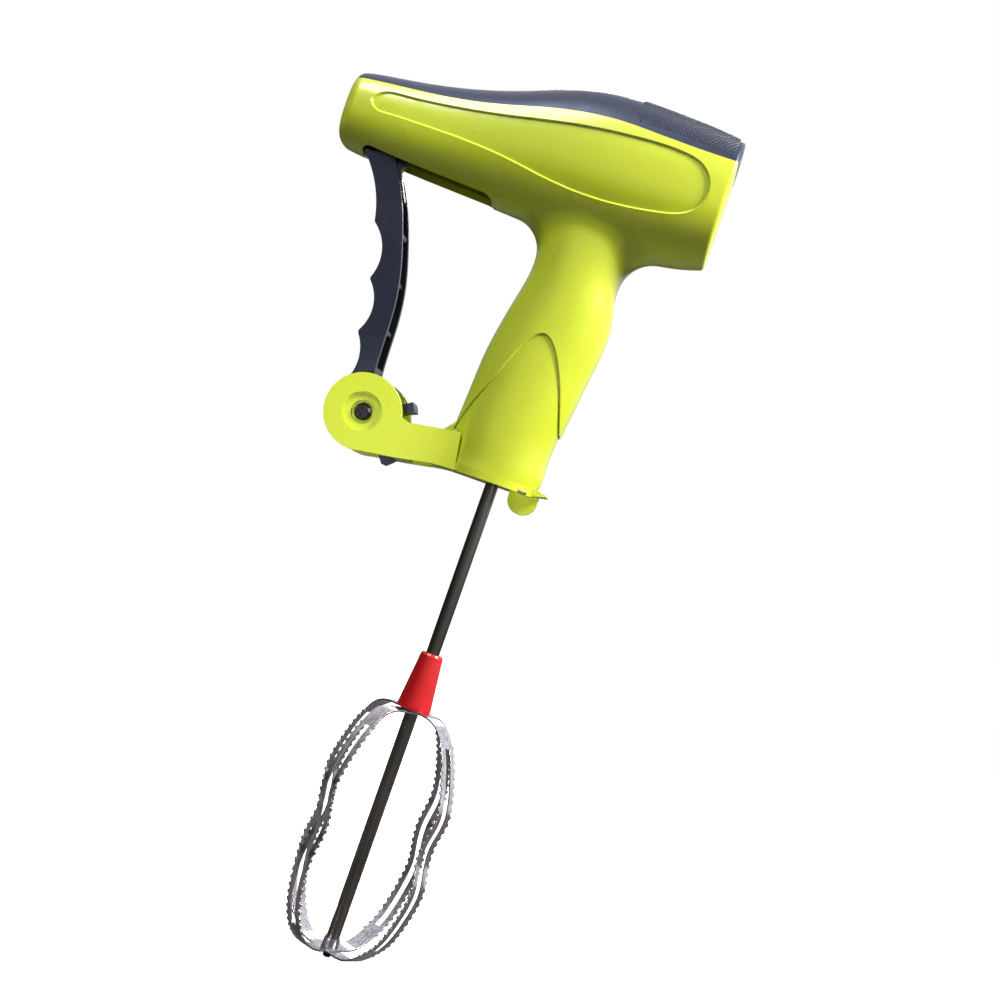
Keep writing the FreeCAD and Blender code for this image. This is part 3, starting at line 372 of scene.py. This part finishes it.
cross_screw = make_cross_screw()
HEAD_TO_BACK = (-math.pi / 2, 0, 0)
HEAD_TO_FRONT = (math.pi / 2, 0, 0)
HEAD_DOWN = (math.pi, 0, 0)


def fit_screws(name, replaced, body, seats, turn, finish, **sizes):
    """One group of like screws, standing for its CAD node."""
    settings = {key.replace("_", " ").title(): value * MM for key, value in sizes.items()}
    settings["Turn"] = turn
    settings["Finish"] = finish
    screws = grow(point_cloud(seats), cross_screw, name, settings)
    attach(screws, body)
    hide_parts(replaced)


# Each screw's x and z, and the y of the face that its head sits on
HOUSING_SEAT = 8.5
housing_spots = [(-100, 79), (-72, 80), (32, 90), (38, 68), (14, 26), (-11, -20), (13, -22)]
fit_screws("housing_screw_set", "housing_screws", "housing",
           [(x, HOUSING_SEAT, z) for x, z in housing_spots], HEAD_TO_BACK, zinc_steel,
           head_radius=2.7, head_height=1.8, shank_radius=1.05, length=17.4,
           recess_reach=1.6, recess_width=0.9, recess_depth=0.9,
           thread_pitch=1.1, thread_height=0.15)


# ======================================================================================
# Top cover
# Dark blue-grey moulded shell that snaps over the top of the barrel.  Its wide end has a
# moulded grip: low pips in diamond rows.
# ======================================================================================

BLUE_SHEEN = (0.62, 0.72, 1.0, 1.0)
slate_plastic = moulded_plastic("slate_plastic", (0.013, 0.016, 0.036, 1),
                                (0.021, 0.025, 0.052, 1), smooth=0.34, dull=0.46,
                                grain_height=0.000012, sheen=BLUE_SHEEN)
grip_plastic = moulded_plastic("grip_plastic", (0.006, 0.007, 0.012, 1),
                               (0.012, 0.014, 0.022, 1), smooth=0.42, dull=0.55,
                               grain_height=0.000012, sheen=BLUE_SHEEN)
dress("top_cover", slate_plastic)


def make_grip_pips():
    """Low four-sided pips in diamond rows, dropped on a surface where it faces upwards."""
    tree, given, out = new_shape_tree("grip_pips", [
        ("Pitch", "NodeSocketFloat", 0.0016), ("Pip Radius", "NodeSocketFloat", 0.0007),
        ("Pip Height", "NodeSocketFloat", 0.0003), ("Length", "NodeSocketFloat", 0.04),
        ("Width", "NodeSocketFloat", 0.05), ("Columns", "NodeSocketInt", 25),
        ("Rows", "NodeSocketInt", 31), ("Middle", "NodeSocketVector", (0, 0, 0)),
        ("Drop", "NodeSocketFloat", 0.06), ("Least Upward", "NodeSocketFloat", 0.4),
        ("Finish", "NodeSocketMaterial", None)])
    size = given.outputs
    pip_top = 0.35          # a pip's flat top, of its radius
    field = add_node(tree, "GeometryNodeMeshGrid", [
        ("Size X", size["Length"]), ("Size Y", size["Width"]),
        ("Vertices X", size["Columns"]), ("Vertices Y", size["Rows"])])
    half = math_node(tree, "MULTIPLY", size["Pitch"], 0.5)
    nudge = add_node(tree, "ShaderNodeCombineXYZ", [("X", half), ("Y", half)])
    second = add_node(tree, "ShaderNodeVectorMath", [
        (0, size["Middle"]), (1, nudge.outputs[0])], operation="ADD")
    fields = add_node(tree, "GeometryNodeJoinGeometry")
    for place in (size["Middle"], second.outputs[0]):
        set_down = add_node(tree, "GeometryNodeTransform", [
            ("Geometry", field.outputs["Mesh"]), ("Translation", place)])
        tree.links.new(set_down.outputs[0], fields.inputs[0])
    spots = add_node(tree, "GeometryNodeMeshToPoints", [("Mesh", fields.outputs[0])])
    ray = add_node(tree, "GeometryNodeRaycast", [
        ("Target Geometry", given.outputs["Geometry"]),
        ("Ray Direction", (0.0, 0.0, -1.0)), ("Ray Length", size["Drop"])])
    upward = add_node(tree, "ShaderNodeSeparateXYZ", [("Vector", ray.outputs["Hit Normal"])])
    facing = add_node(tree, "FunctionNodeCompare", [
        (0, upward.outputs["Z"]), (1, size["Least Upward"])],
        data_type="FLOAT", operation="GREATER_THAN")
    wanted = add_node(tree, "FunctionNodeBooleanMath", [
        (0, ray.outputs["Is Hit"]), (1, facing.outputs[0])], operation="AND")
    turn = add_node(tree, "FunctionNodeAlignRotationToVector", [
        ("Vector", ray.outputs["Hit Normal"])], axis="Z")
    store = add_node(tree, "GeometryNodeStoreNamedAttribute", [
        ("Geometry", spots.outputs[0]), ("Name", "lean"), ("Value", turn.outputs[0])],
        data_type="QUATERNION", domain="POINT")
    keep = add_node(tree, "GeometryNodeStoreNamedAttribute", [
        ("Geometry", store.outputs[0]), ("Name", "kept"), ("Value", wanted.outputs[0])],
        data_type="BOOLEAN", domain="POINT")
    landed = add_node(tree, "GeometryNodeSetPosition", [
        ("Geometry", keep.outputs[0]), ("Position", ray.outputs["Hit Position"])])
    kept = add_node(tree, "GeometryNodeInputNamedAttribute", [("Name", "kept")],
                    data_type="BOOLEAN")
    lean = add_node(tree, "GeometryNodeInputNamedAttribute", [("Name", "lean")],
                    data_type="QUATERNION")
    pip = add_node(tree, "GeometryNodeMeshCone", [
        ("Vertices", 4),
        ("Radius Top", math_node(tree, "MULTIPLY", size["Pip Radius"], pip_top)),
        ("Radius Bottom", size["Pip Radius"]), ("Depth", size["Pip Height"])])
    copies = add_node(tree, "GeometryNodeInstanceOnPoints", [
        ("Points", landed.outputs[0]), ("Selection", kept.outputs[0]),
        ("Instance", pip.outputs["Mesh"]), ("Rotation", lean.outputs[0])])
    real = add_node(tree, "GeometryNodeRealizeInstances", [("Geometry", copies.outputs[0])])
    coated = add_node(tree, "GeometryNodeSetMaterial", [
        ("Geometry", real.outputs[0]), ("Material", size["Finish"])])
    tree.links.new(coated.outputs[0], out.inputs[0])
    return tree


WELD = 0.002 * MM


def merged_copy(node, name):
    """A copy of a CAD node's mesh with its loose triangles joined up."""
    copy = place_object(name, nodes[node].data.copy())
    work = bmesh.new()
    work.from_mesh(copy.data)
    bmesh.ops.remove_doubles(work, verts=work.verts, dist=WELD)
    work.to_mesh(copy.data)
    work.free()
    return copy


GRIP_PITCH = 1.5 * MM
GRIP_COLUMNS, GRIP_ROWS = 27, 29
GRIP_MIDDLE = (28 * MM, 0.0, 130 * MM)      # above the cover, from where the pips drop
grip = grow(merged_copy("top_cover", "grip_base"), make_grip_pips(), "cover_grip", {
    "Pitch": GRIP_PITCH, "Pip Radius": 0.74 * MM, "Pip Height": 0.22 * MM,
    "Length": GRIP_PITCH * (GRIP_COLUMNS - 1), "Width": GRIP_PITCH * (GRIP_ROWS - 1),
    "Columns": GRIP_COLUMNS, "Rows": GRIP_ROWS, "Middle": GRIP_MIDDLE,
    "Drop": 60 * MM, "Least Upward": 0.4, "Finish": grip_plastic})
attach(grip, "housing")


# ======================================================================================
# Gear train
# Natural nylon gears on steel pins, inside the barrel: the first gear, the idler, the
# crown gear that turns the corner, and the pinion pressed on the drive shaft.  Two black
# acetal bushes carry the shaft, and a steel clip holds it.
# ======================================================================================

nylon = moulded_plastic("natural_nylon", (0.62, 0.60, 0.53, 1), (0.72, 0.70, 0.63, 1),
                        smooth=0.3, dull=0.45, grain_height=0.00001)
for name in ("first_gear", "idler_gear", "crown_gear", "shaft_pinion"):
    dress(name, nylon)
for name in ("first_axle", "idler_axle", "crown_axle", "shaft_clip"):
    dress(name, zinc_steel)
acetal = moulded_plastic("bush_acetal", (0.018, 0.018, 0.018, 1), (0.03, 0.03, 0.032, 1),
                         smooth=0.3, dull=0.42, grain_height=0.00001)
for name in ("upper_bush", "lower_bush"):
    dress(name, acetal)


# ======================================================================================
# Bottom plate and fork
# One lime moulding that closes the neck and carries the lever between two discs.  Four
# screws hold it from below.
# ======================================================================================

dress("bottom_plate", lime_plastic)
# Each screw's x and y, and the z of its head's seat
PLATE_SEAT = -48.9
plate_spots = [(12, 10), (12, -10), (-13, 10.4), (-13, -10.4)]
fit_screws("plate_screw_set", "plate_screws", "housing",
           [(x, y, PLATE_SEAT) for x, y in plate_spots], HEAD_DOWN, zinc_steel,
           head_radius=2.7, head_height=1.1, shank_radius=1.05, length=9.0,
           recess_reach=1.6, recess_width=0.8, recess_depth=0.5,
           thread_pitch=1.1, thread_height=0.15)


# ======================================================================================
# Squeeze lever
# Dark moulded channel with four finger grooves, pinned to the black toothed sector that
# drives the first gear.  A torsion spring in its hub pushes it out again.
# ======================================================================================

lever_plastic = moulded_plastic("lever_plastic", (0.010, 0.011, 0.021, 1),
                                (0.015, 0.016, 0.028, 1), smooth=0.3, dull=0.42,
                                grain_height=0.00001, sheen=BLUE_SHEEN)
dress("squeeze_lever", lever_plastic)
dress("sector_pins", zinc_steel)
dress("lever_sector", acetal)


def make_coil():
    """A round-wire coil about Y, whose first turn begins at its start."""
    tree, given, out = new_shape_tree("coil", [
        ("Wire Radius", "NodeSocketFloat", 0.0007), ("Coil Radius", "NodeSocketFloat", 0.0062),
        ("Turns", "NodeSocketFloat", 3.5), ("Pitch", "NodeSocketFloat", 0.00175),
        ("Start", "NodeSocketVector", (0, 0, 0)), ("Finish", "NodeSocketMaterial", None)])
    size = given.outputs
    line = add_node(tree, "GeometryNodeCurveSpiral", [
        ("Resolution", 48), ("Rotations", size["Turns"]), ("Start Radius", size["Coil Radius"]),
        ("End Radius", size["Coil Radius"]),
        ("Height", math_node(tree, "MULTIPLY", size["Turns"], size["Pitch"]))])
    wire = add_node(tree, "GeometryNodeCurvePrimitiveCircle", [
        ("Resolution", 14), ("Radius", size["Wire Radius"])], mode="RADIUS")
    tube = add_node(tree, "GeometryNodeCurveToMesh", [
        ("Curve", line.outputs[0]), ("Profile Curve", wire.outputs[0]), ("Fill Caps", True)])
    placed = add_node(tree, "GeometryNodeTransform", [
        ("Geometry", tube.outputs[0]), ("Translation", size["Start"]),
        ("Rotation", (-math.pi / 2, 0.0, 0.0))])
    real = add_node(tree, "GeometryNodeRealizeInstances", [("Geometry", placed.outputs[0])])
    coated = add_node(tree, "GeometryNodeSetMaterial", [
        ("Geometry", real.outputs[0]), ("Material", size["Finish"])])
    tree.links.new(coated.outputs[0], out.inputs[0])
    return tree


spring = grow(point_cloud([(0, 0, 0)]), make_coil(), "lever_spring", {
    "Wire Radius": 0.68 * MM, "Coil Radius": 6.2 * MM, "Turns": 3.5, "Pitch": 1.75 * MM,
    "Start": (-57 * MM, 2.5 * MM, -40 * MM), "Finish": zinc_steel})
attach(spring, "housing")
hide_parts("return_spring")


# ======================================================================================
# Pivot screw and nut
# The lever turns on a sleeve nut with a hexagonal head; a cross-recess screw closes it
# from the near disc.
# ======================================================================================

black_steel = brushed_steel("black_steel", (0.07, 0.065, 0.07, 1), (0.02, 0.02, 0.02, 1),
                            smooth=0.22, dull=0.4, grain=900.0, stretch=(1, 1, 1))
dress("pivot_nut", zinc_steel)
fit_screws("pivot_cross_screw", "pivot_screw", "housing", [(-57, -11.4, -40)], HEAD_TO_FRONT,
           black_steel, head_radius=3.5, head_height=2.2, shank_radius=1.4, length=18.4,
           recess_reach=2.1, recess_width=1.1, recess_depth=1.2,
           thread_pitch=0.9, thread_height=0.1)


# ======================================================================================
# Drive shaft and cap
# A drawn steel rod from the gear train to the whisk's tip, with a red cone pressed on
# it above the blades.
# ======================================================================================

# The rod's two tones are far darker than bare steel. This is a painted dark reflection of the
# studio, laid over its drawn lines.
rod_steel_painted_dark_reflection = brushed_steel("rod_steel_painted_dark_reflection", (0.24, 0.23, 0.22, 1), (0.06, 0.055, 0.05, 1),
                          smooth=0.16, dull=0.34, grain=260.0, stretch=(6, 6, 0.12))
dress("drive_shaft", rod_steel_painted_dark_reflection)
red_plastic = moulded_plastic("red_plastic", (0.44, 0.003, 0.006, 1), (0.54, 0.006, 0.010, 1),
                              smooth=0.22, dull=0.36, grain_height=0.000008)
dress("hub_cap", red_plastic)


# ======================================================================================
# Whisk blades
# Two strips of stainless steel, punched with a slot and small teeth, bent to crossing
# loops, and clamped under the cap and at the tip.
# ======================================================================================

whisk_steel = brushed_steel("whisk_steel", (0.62, 0.60, 0.66, 1), (0.28, 0.265, 0.30, 1),
                            smooth=0.12, dull=0.28, grain=300.0, stretch=(3, 3, 0.3))
dress("tip_collar", whisk_steel)

# A strip's outline: distance from the shaft, and height as a share of the whisk downwards
RIGHT_ARM = [(6.0, 0.0), (12.8, 0.004), (18.8, 0.03), (23.8, 0.085), (27.8, 0.155),
             (32.2, 0.265), (33.4, 0.35), (31.2, 0.45), (31.4, 0.52), (33.5, 0.63),
             (31.4, 0.74), (26.6, 0.86), (20.4, 0.935), (14.4, 0.983), (9.0, 1.0)]
LEFT_ARM = [(6.0, 0.0), (12.8, 0.004), (18.2, 0.03), (22.4, 0.085), (26.2, 0.155),
            (30.2, 0.265), (31.6, 0.355), (29.2, 0.46), (28.9, 0.53), (31.0, 0.64),
            (30.0, 0.76), (26.2, 0.87), (20.8, 0.945), (14.8, 0.985), (9.0, 1.0)]
STRIP_THICK = 0.8
STRIP_TOP, STRIP_BOTTOM = -144.8, -246.0
OUTLINE_GAP = 0.03          # a strip's outer face stands this far inside its outline


def strip_line(name, top, bottom):
    """Closed line along the middle of a bent strip: hub, right arm, tip, left arm."""
    drop = bottom - top
    rim = [(0.0, top)] + [(r, top + drop * share) for r, share in RIGHT_ARM]
    rim += [(0.0, bottom)] + [(-r, top + drop * share) for r, share in reversed(LEFT_ARM)]
    line = []
    for k, (x, z) in enumerate(rim):
        before, after = rim[k - 1], rim[(k + 1) % len(rim)]
        along = Vector((after[0] - before[0], 0.0, after[1] - before[1])).normalized()
        inward = Vector((along.z, 0.0, -along.x))
        line.append((Vector((x, 0.0, z)) + inward * (STRIP_THICK / 2 + OUTLINE_GAP)) * MM)
    mesh = bpy.data.meshes.new(name)
    count = len(line)
    mesh.from_pydata(line, [(k, (k + 1) % count) for k in range(count)], [])
    return place_object(name, mesh)


def make_toothed_strip():
    """A flat strip laid along a closed line, toothed edges, a long slot in each arm."""
    tree, given, out = new_shape_tree("toothed_strip", [
        ("Width", "NodeSocketFloat", 0.0086), ("Tooth Depth", "NodeSocketFloat", 0.0009),
        ("Tooth Pitch", "NodeSocketFloat", 0.003), ("Slot Width", "NodeSocketFloat", 0.0034),
        ("Tooth Top", "NodeSocketFloat", -0.15), ("Tooth Bottom", "NodeSocketFloat", -0.24),
        ("Slot Top", "NodeSocketFloat", -0.155), ("Slot Bottom", "NodeSocketFloat", -0.233),
        ("Hub Hole", "NodeSocketFloat", 0.00275), ("Tip Hole", "NodeSocketFloat", 0.00175),
        ("Turn", "NodeSocketVector", (0, 0, 0)), ("Finish", "NodeSocketMaterial", None)])
    size = given.outputs
    per_tooth, rows = 6.0, 4        # the sheet's columns for each tooth, and its rows
    tooth_from, tooth_to = 1.5, 4.5     # the columns between these stand out as the tooth
    hole_rim = 0.0006               # the sheet follows a hole's circle this far past it
    slot_band = 0.0002              # faces between the two middle rows lie within this
    weld = 0.00002
    line = add_node(tree, "GeometryNodeMeshToCurve", [("Mesh", given.outputs["Geometry"])])
    smooth = add_node(tree, "GeometryNodeCurveSplineType", [("Curve", line.outputs[0])],
                      spline_type="CATMULL_ROM")
    fine = add_node(tree, "GeometryNodeSetSplineResolution", [
        ("Geometry", smooth.outputs[0]), ("Resolution", 12)])
    length = add_node(tree, "GeometryNodeCurveLength", [("Curve", fine.outputs[0])]).outputs[0]
    teeth = math_node(tree, "ROUND", math_node(tree, "DIVIDE", length, size["Tooth Pitch"]))
    columns = math_node(tree, "MULTIPLY", teeth, per_tooth)
    sheet = add_node(tree, "GeometryNodeMeshGrid", [
        ("Vertices X", math_node(tree, "ADD", columns, 1.0)), ("Vertices Y", rows)])
    index = add_node(tree, "GeometryNodeInputIndex").outputs[0]
    column = math_node(tree, "FLOOR", math_node(tree, "DIVIDE", index, rows))
    row = math_node(tree, "FLOORED_MODULO", index, rows)
    share = math_node(tree, "DIVIDE", column, columns)
    at = add_node(tree, "GeometryNodeSampleCurve", [
        ("Curves", fine.outputs[0]), ("Factor", share)], mode="FACTOR")
    spot = add_node(tree, "ShaderNodeSeparateXYZ", [("Vector", at.outputs["Position"])]).outputs
    reach = math_node(tree, "ABSOLUTE", spot["X"])

    def between(value, low, high):
        above = math_node(tree, "GREATER_THAN", value, low)
        below = math_node(tree, "LESS_THAN", value, high)
        return math_node(tree, "MULTIPLY", above, below)

    def pick(mask, no, yes):
        return add_node(tree, "ShaderNodeMix", [(0, mask), (2, no), (3, yes)]).outputs[0]

    tooth = between(math_node(tree, "FLOORED_MODULO", column, per_tooth),
                    tooth_from, tooth_to)
    tooth = math_node(tree, "MULTIPLY", tooth,
                      between(spot["Z"], size["Tooth Bottom"], size["Tooth Top"]))
    half = math_node(tree, "MULTIPLY", size["Width"], 0.5)
    edge = pick(tooth, math_node(tree, "SUBTRACT", half, size["Tooth Depth"]), half)
    upper = math_node(tree, "GREATER_THAN", spot["Z"], size["Slot Top"])
    hole = pick(upper, size["Tip Hole"], size["Hub Hole"])
    rest = math_node(tree, "SUBTRACT", math_node(tree, "POWER", hole, 2.0),
                     math_node(tree, "POWER", reach, 2.0))
    round_edge = math_node(tree, "SQRT", math_node(tree, "MAXIMUM", rest, 0.0))
    near_axis = math_node(tree, "LESS_THAN", reach, math_node(tree, "ADD", hole, hole_rim))
    gap = pick(near_axis, math_node(tree, "MULTIPLY", size["Slot Width"], 0.5), round_edge)
    from_middle = math_node(tree, "SUBTRACT", row, (rows - 1) / 2)
    outer = math_node(tree, "GREATER_THAN", math_node(tree, "ABSOLUTE", from_middle), 1.0)
    side = math_node(tree, "SIGN", from_middle)
    across = math_node(tree, "MULTIPLY", pick(outer, gap, edge), side)
    place = add_node(tree, "ShaderNodeCombineXYZ", [
        ("X", spot["X"]), ("Y", across), ("Z", spot["Z"])])
    laid = add_node(tree, "GeometryNodeSetPosition", [
        ("Geometry", sheet.outputs["Mesh"]), ("Position", place.outputs[0])])
    here = add_node(tree, "GeometryNodeInputPosition")
    middle = add_node(tree, "ShaderNodeSeparateXYZ", [("Vector", here.outputs[0])]).outputs
    central = math_node(tree, "LESS_THAN", math_node(tree, "ABSOLUTE", middle["Y"]), slot_band)
    high = math_node(tree, "GREATER_THAN", middle["Z"], size["Slot Top"])
    bore = math_node(tree, "LESS_THAN", math_node(tree, "ABSOLUTE", middle["X"]),
                     pick(high, size["Tip Hole"], size["Hub Hole"]))
    open_part = math_node(tree, "MAXIMUM", bore,
                          between(middle["Z"], size["Slot Bottom"], size["Slot Top"]))
    cut = add_node(tree, "GeometryNodeDeleteGeometry", [
        ("Geometry", laid.outputs[0]),
        ("Selection", math_node(tree, "MULTIPLY", central, open_part))], domain="FACE")
    sewn = add_node(tree, "GeometryNodeMergeByDistance", [
        ("Geometry", cut.outputs[0]), ("Distance", weld)])
    turned_strip = add_node(tree, "GeometryNodeTransform", [
        ("Geometry", sewn.outputs[0]), ("Rotation", size["Turn"])])
    shaded = add_node(tree, "GeometryNodeSetShadeSmooth", [("Geometry", turned_strip.outputs[0])])
    real = add_node(tree, "GeometryNodeRealizeInstances", [("Geometry", shaded.outputs[0])])
    coated = add_node(tree, "GeometryNodeSetMaterial", [
        ("Geometry", real.outputs[0]), ("Material", size["Finish"])])
    tree.links.new(coated.outputs[0], out.inputs[0])
    return tree


toothed_strip = make_toothed_strip()


def fit_strip(name, replaced, top, bottom, turn):
    """One bent strip: the sheet, its thickness, and the small rounding of a stamped edge."""
    strip = grow(strip_line(name + "_line", top, bottom), toothed_strip, name, {
        "Width": 8.6 * MM, "Tooth Depth": 0.8 * MM, "Tooth Pitch": 3.0 * MM,
        "Slot Width": 2.6 * MM, "Tooth Top": (top - 7) * MM, "Tooth Bottom": (bottom + 6) * MM,
        "Slot Top": (top - 9) * MM, "Slot Bottom": (bottom + 10) * MM,
        "Turn": (0.0, 0.0, math.radians(turn)), "Finish": whisk_steel})
    sheet = strip.modifiers.new("sheet", "SOLIDIFY")
    sheet.thickness = STRIP_THICK * MM
    sheet.offset = 0.0
    sheet.use_even_offset = True
    stamped = strip.modifiers.new("stamped_edge", "BEVEL")
    stamped.width = 0.12 * MM
    stamped.segments = 2
    stamped.limit_method = "ANGLE"
    stamped.angle_limit = math.radians(50)
    stamped.harden_normals = True
    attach(strip, "whisk")
    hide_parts(replaced)


fit_strip("outer_strip", "outer_blade", STRIP_TOP, STRIP_BOTTOM, -35)
fit_strip("inner_strip", "inner_blade", STRIP_TOP - STRIP_THICK, STRIP_BOTTOM + STRIP_THICK, 55)


# ======================================================================================
# Floor, light and camera
# A pale floor under the whisk's tip, a warm soft light at the right, white ones above and
# behind, a weak one in front, two small pools of light on the fork's disc and the tab, and
# a dark card at the left for the polished surfaces.
# ======================================================================================

FLOOR_DIM, FLOOR_PALE = (0.12, 0.12, 0.12, 1), (0.8, 0.8, 0.8, 1)
WHITE = (1, 1, 1, 1)


def stage_material(name, lift):
    """Floor that the camera sees pale, and that throws little light back on the object."""
    material, tree, shader = new_material(name)
    shader.inputs["Roughness"].default_value = 0.9
    shader.inputs["Specular IOR Level"].default_value = 0.0
    shader.inputs["Emission Color"].default_value = WHITE
    rays = add_node(tree, "ShaderNodeLightPath")
    tone = add_node(tree, "ShaderNodeMix", [
        (0, rays.outputs["Is Camera Ray"]), (6, FLOOR_DIM), (7, FLOOR_PALE)], data_type="RGBA")
    glow = math_node(tree, "MULTIPLY", rays.outputs["Is Camera Ray"], lift)
    tree.links.new(tone.outputs[2], shader.inputs["Base Color"])
    tree.links.new(glow, shader.inputs["Emission Strength"])
    return material


REACH = 40.0
floor_z = cad_low.z
floor_mesh = bpy.data.meshes.new("floor")
floor_mesh.from_pydata([(-REACH, -REACH, floor_z), (REACH, -REACH, floor_z),
                        (REACH, REACH, floor_z), (-REACH, REACH, floor_z)], [], [(0, 1, 2, 3)])
floor = place_object("floor", floor_mesh)
floor_mesh.materials.append(stage_material("floor_white", 0.97))

world = bpy.data.worlds.new("studio")
bpy.context.scene.world = world
world.use_nodes = True
sky = world.node_tree
background = sky.nodes["Background"]
rays = add_node(sky, "ShaderNodeLightPath")
around = add_node(sky, "ShaderNodeTexCoord")
BRIGHT_SIDE = (0.46, -0.1, 0.88)
lean = add_node(sky, "ShaderNodeVectorMath", [
    (0, around.outputs["Generated"]), (1, BRIGHT_SIDE)], operation="DOT_PRODUCT")
studio = add_node(sky, "ShaderNodeMapRange", [
    ("Value", lean.outputs["Value"]), ("From Min", -0.5), ("From Max", 0.8), ("To Min", 0.02),
    ("To Max", 1.3)], interpolation_type="SMOOTHSTEP")
mirrored = math_node(sky, "MULTIPLY", rays.outputs["Is Glossy Ray"], studio.outputs["Result"])
shown = math_node(sky, "MAXIMUM", rays.outputs["Is Camera Ray"], mirrored)
level = add_node(sky, "ShaderNodeMapRange", [
    ("Value", shown), ("To Min", 0.05), ("To Max", 1.0)], clamp=False)
sky.links.new(level.outputs["Result"], background.inputs["Strength"])
background.inputs["Color"].default_value = WHITE

AIM = Vector((5, 0, -54.8)) * MM
CAMERA_DISTANCE = 0.6
AZIMUTH, ELEVATION, ROLL = math.radians(6), math.radians(-1.5), math.radians(19.4)
back = Vector((math.sin(AZIMUTH) * math.cos(ELEVATION), -math.cos(AZIMUTH) * math.cos(ELEVATION),
               math.sin(ELEVATION)))
level_right = Vector((math.cos(AZIMUTH), math.sin(AZIMUTH), 0))
level_up = back.cross(level_right)
right = level_right * math.cos(ROLL) + level_up * math.sin(ROLL)
up = level_up * math.cos(ROLL) - level_right * math.sin(ROLL)
camera_data = bpy.data.cameras.new("camera")
camera_data.lens = 54
camera_data.sensor_width = 36
camera_data.clip_start, camera_data.clip_end = 0.01, 200
camera = place_object("camera", camera_data)
turned = Matrix((right, up, back)).transposed().to_4x4()
camera.matrix_world = Matrix.Translation(AIM + back * CAMERA_DISTANCE) @ turned
bpy.context.scene.camera = camera


def aim_light(name, data, middle, offset):
    """Sets a light off from a point, in the camera's directions, and turns it to face that."""
    light = place_object(name, data)
    place = right * offset[0] + up * offset[1] + back * offset[2]
    light.location = middle + place
    light.rotation_mode = "QUATERNION"
    light.rotation_quaternion = place.to_track_quat("Z", "Y")


def soft_light(name, offset, watts, width, color=(1, 1, 1)):
    """A square area light on the middle of the object."""
    data = bpy.data.lights.new(name, "AREA")
    data.energy = watts
    data.color = color
    data.shape = "SQUARE"
    data.size = width
    aim_light(name, data, AIM, offset)


def pool_light(name, middle, offset, watts, degrees):
    """A narrow soft-edged spot that lifts one small piece."""
    data = bpy.data.lights.new(name, "SPOT")
    data.energy = watts
    data.spot_size = math.radians(degrees)
    data.spot_blend = 0.7
    data.shadow_soft_size = 0.01
    aim_light(name, data, Vector(middle) * MM, offset)


soft_light("key_light", (1.15, 0.55, 0.38), watts=38.0, width=0.35, color=(1.0, 0.93, 0.8))
soft_light("top_light", (-0.2, 1.2, 0.62), watts=12.0, width=0.5)
soft_light("low_light", (-0.38, -0.22, 0.7), watts=3.4, width=0.2)
soft_light("back_light", (0.3, 0.7, -1.2), watts=12.0, width=0.5)
pool_light("disc_light", (-52, -12, -41), (-0.15, -0.1, 0.6), watts=5.5, degrees=6.4)
pool_light("tab_light", (17, -8, -54), (0.12, -0.2, 0.5), watts=8.0, degrees=2.6)

CARD_HALF = 0.4
card_mesh = bpy.data.meshes.new("dark_card")
card_middle = AIM - right * 0.9 - up * 0.1 + back * 0.3
card_across = up.cross(AIM - card_middle).normalized()
card_mesh.from_pydata([tuple(card_middle + (card_across * x + up * y) * CARD_HALF)
                       for x, y in ((-1, -1), (1, -1), (1, 1), (-1, 1))],
                      [], [(0, 1, 2, 3)])
card = place_object("dark_card", card_mesh)
card_material, _, card_shader = new_material("card_black")
card_shader.inputs["Base Color"].default_value = (0.02, 0.02, 0.02, 1)
card_shader.inputs["Roughness"].default_value = 1.0
card_mesh.materials.append(card_material)
card.visible_camera = False
card.visible_diffuse = False
card.visible_shadow = False

bpy.context.scene.view_settings.view_transform = "Standard"
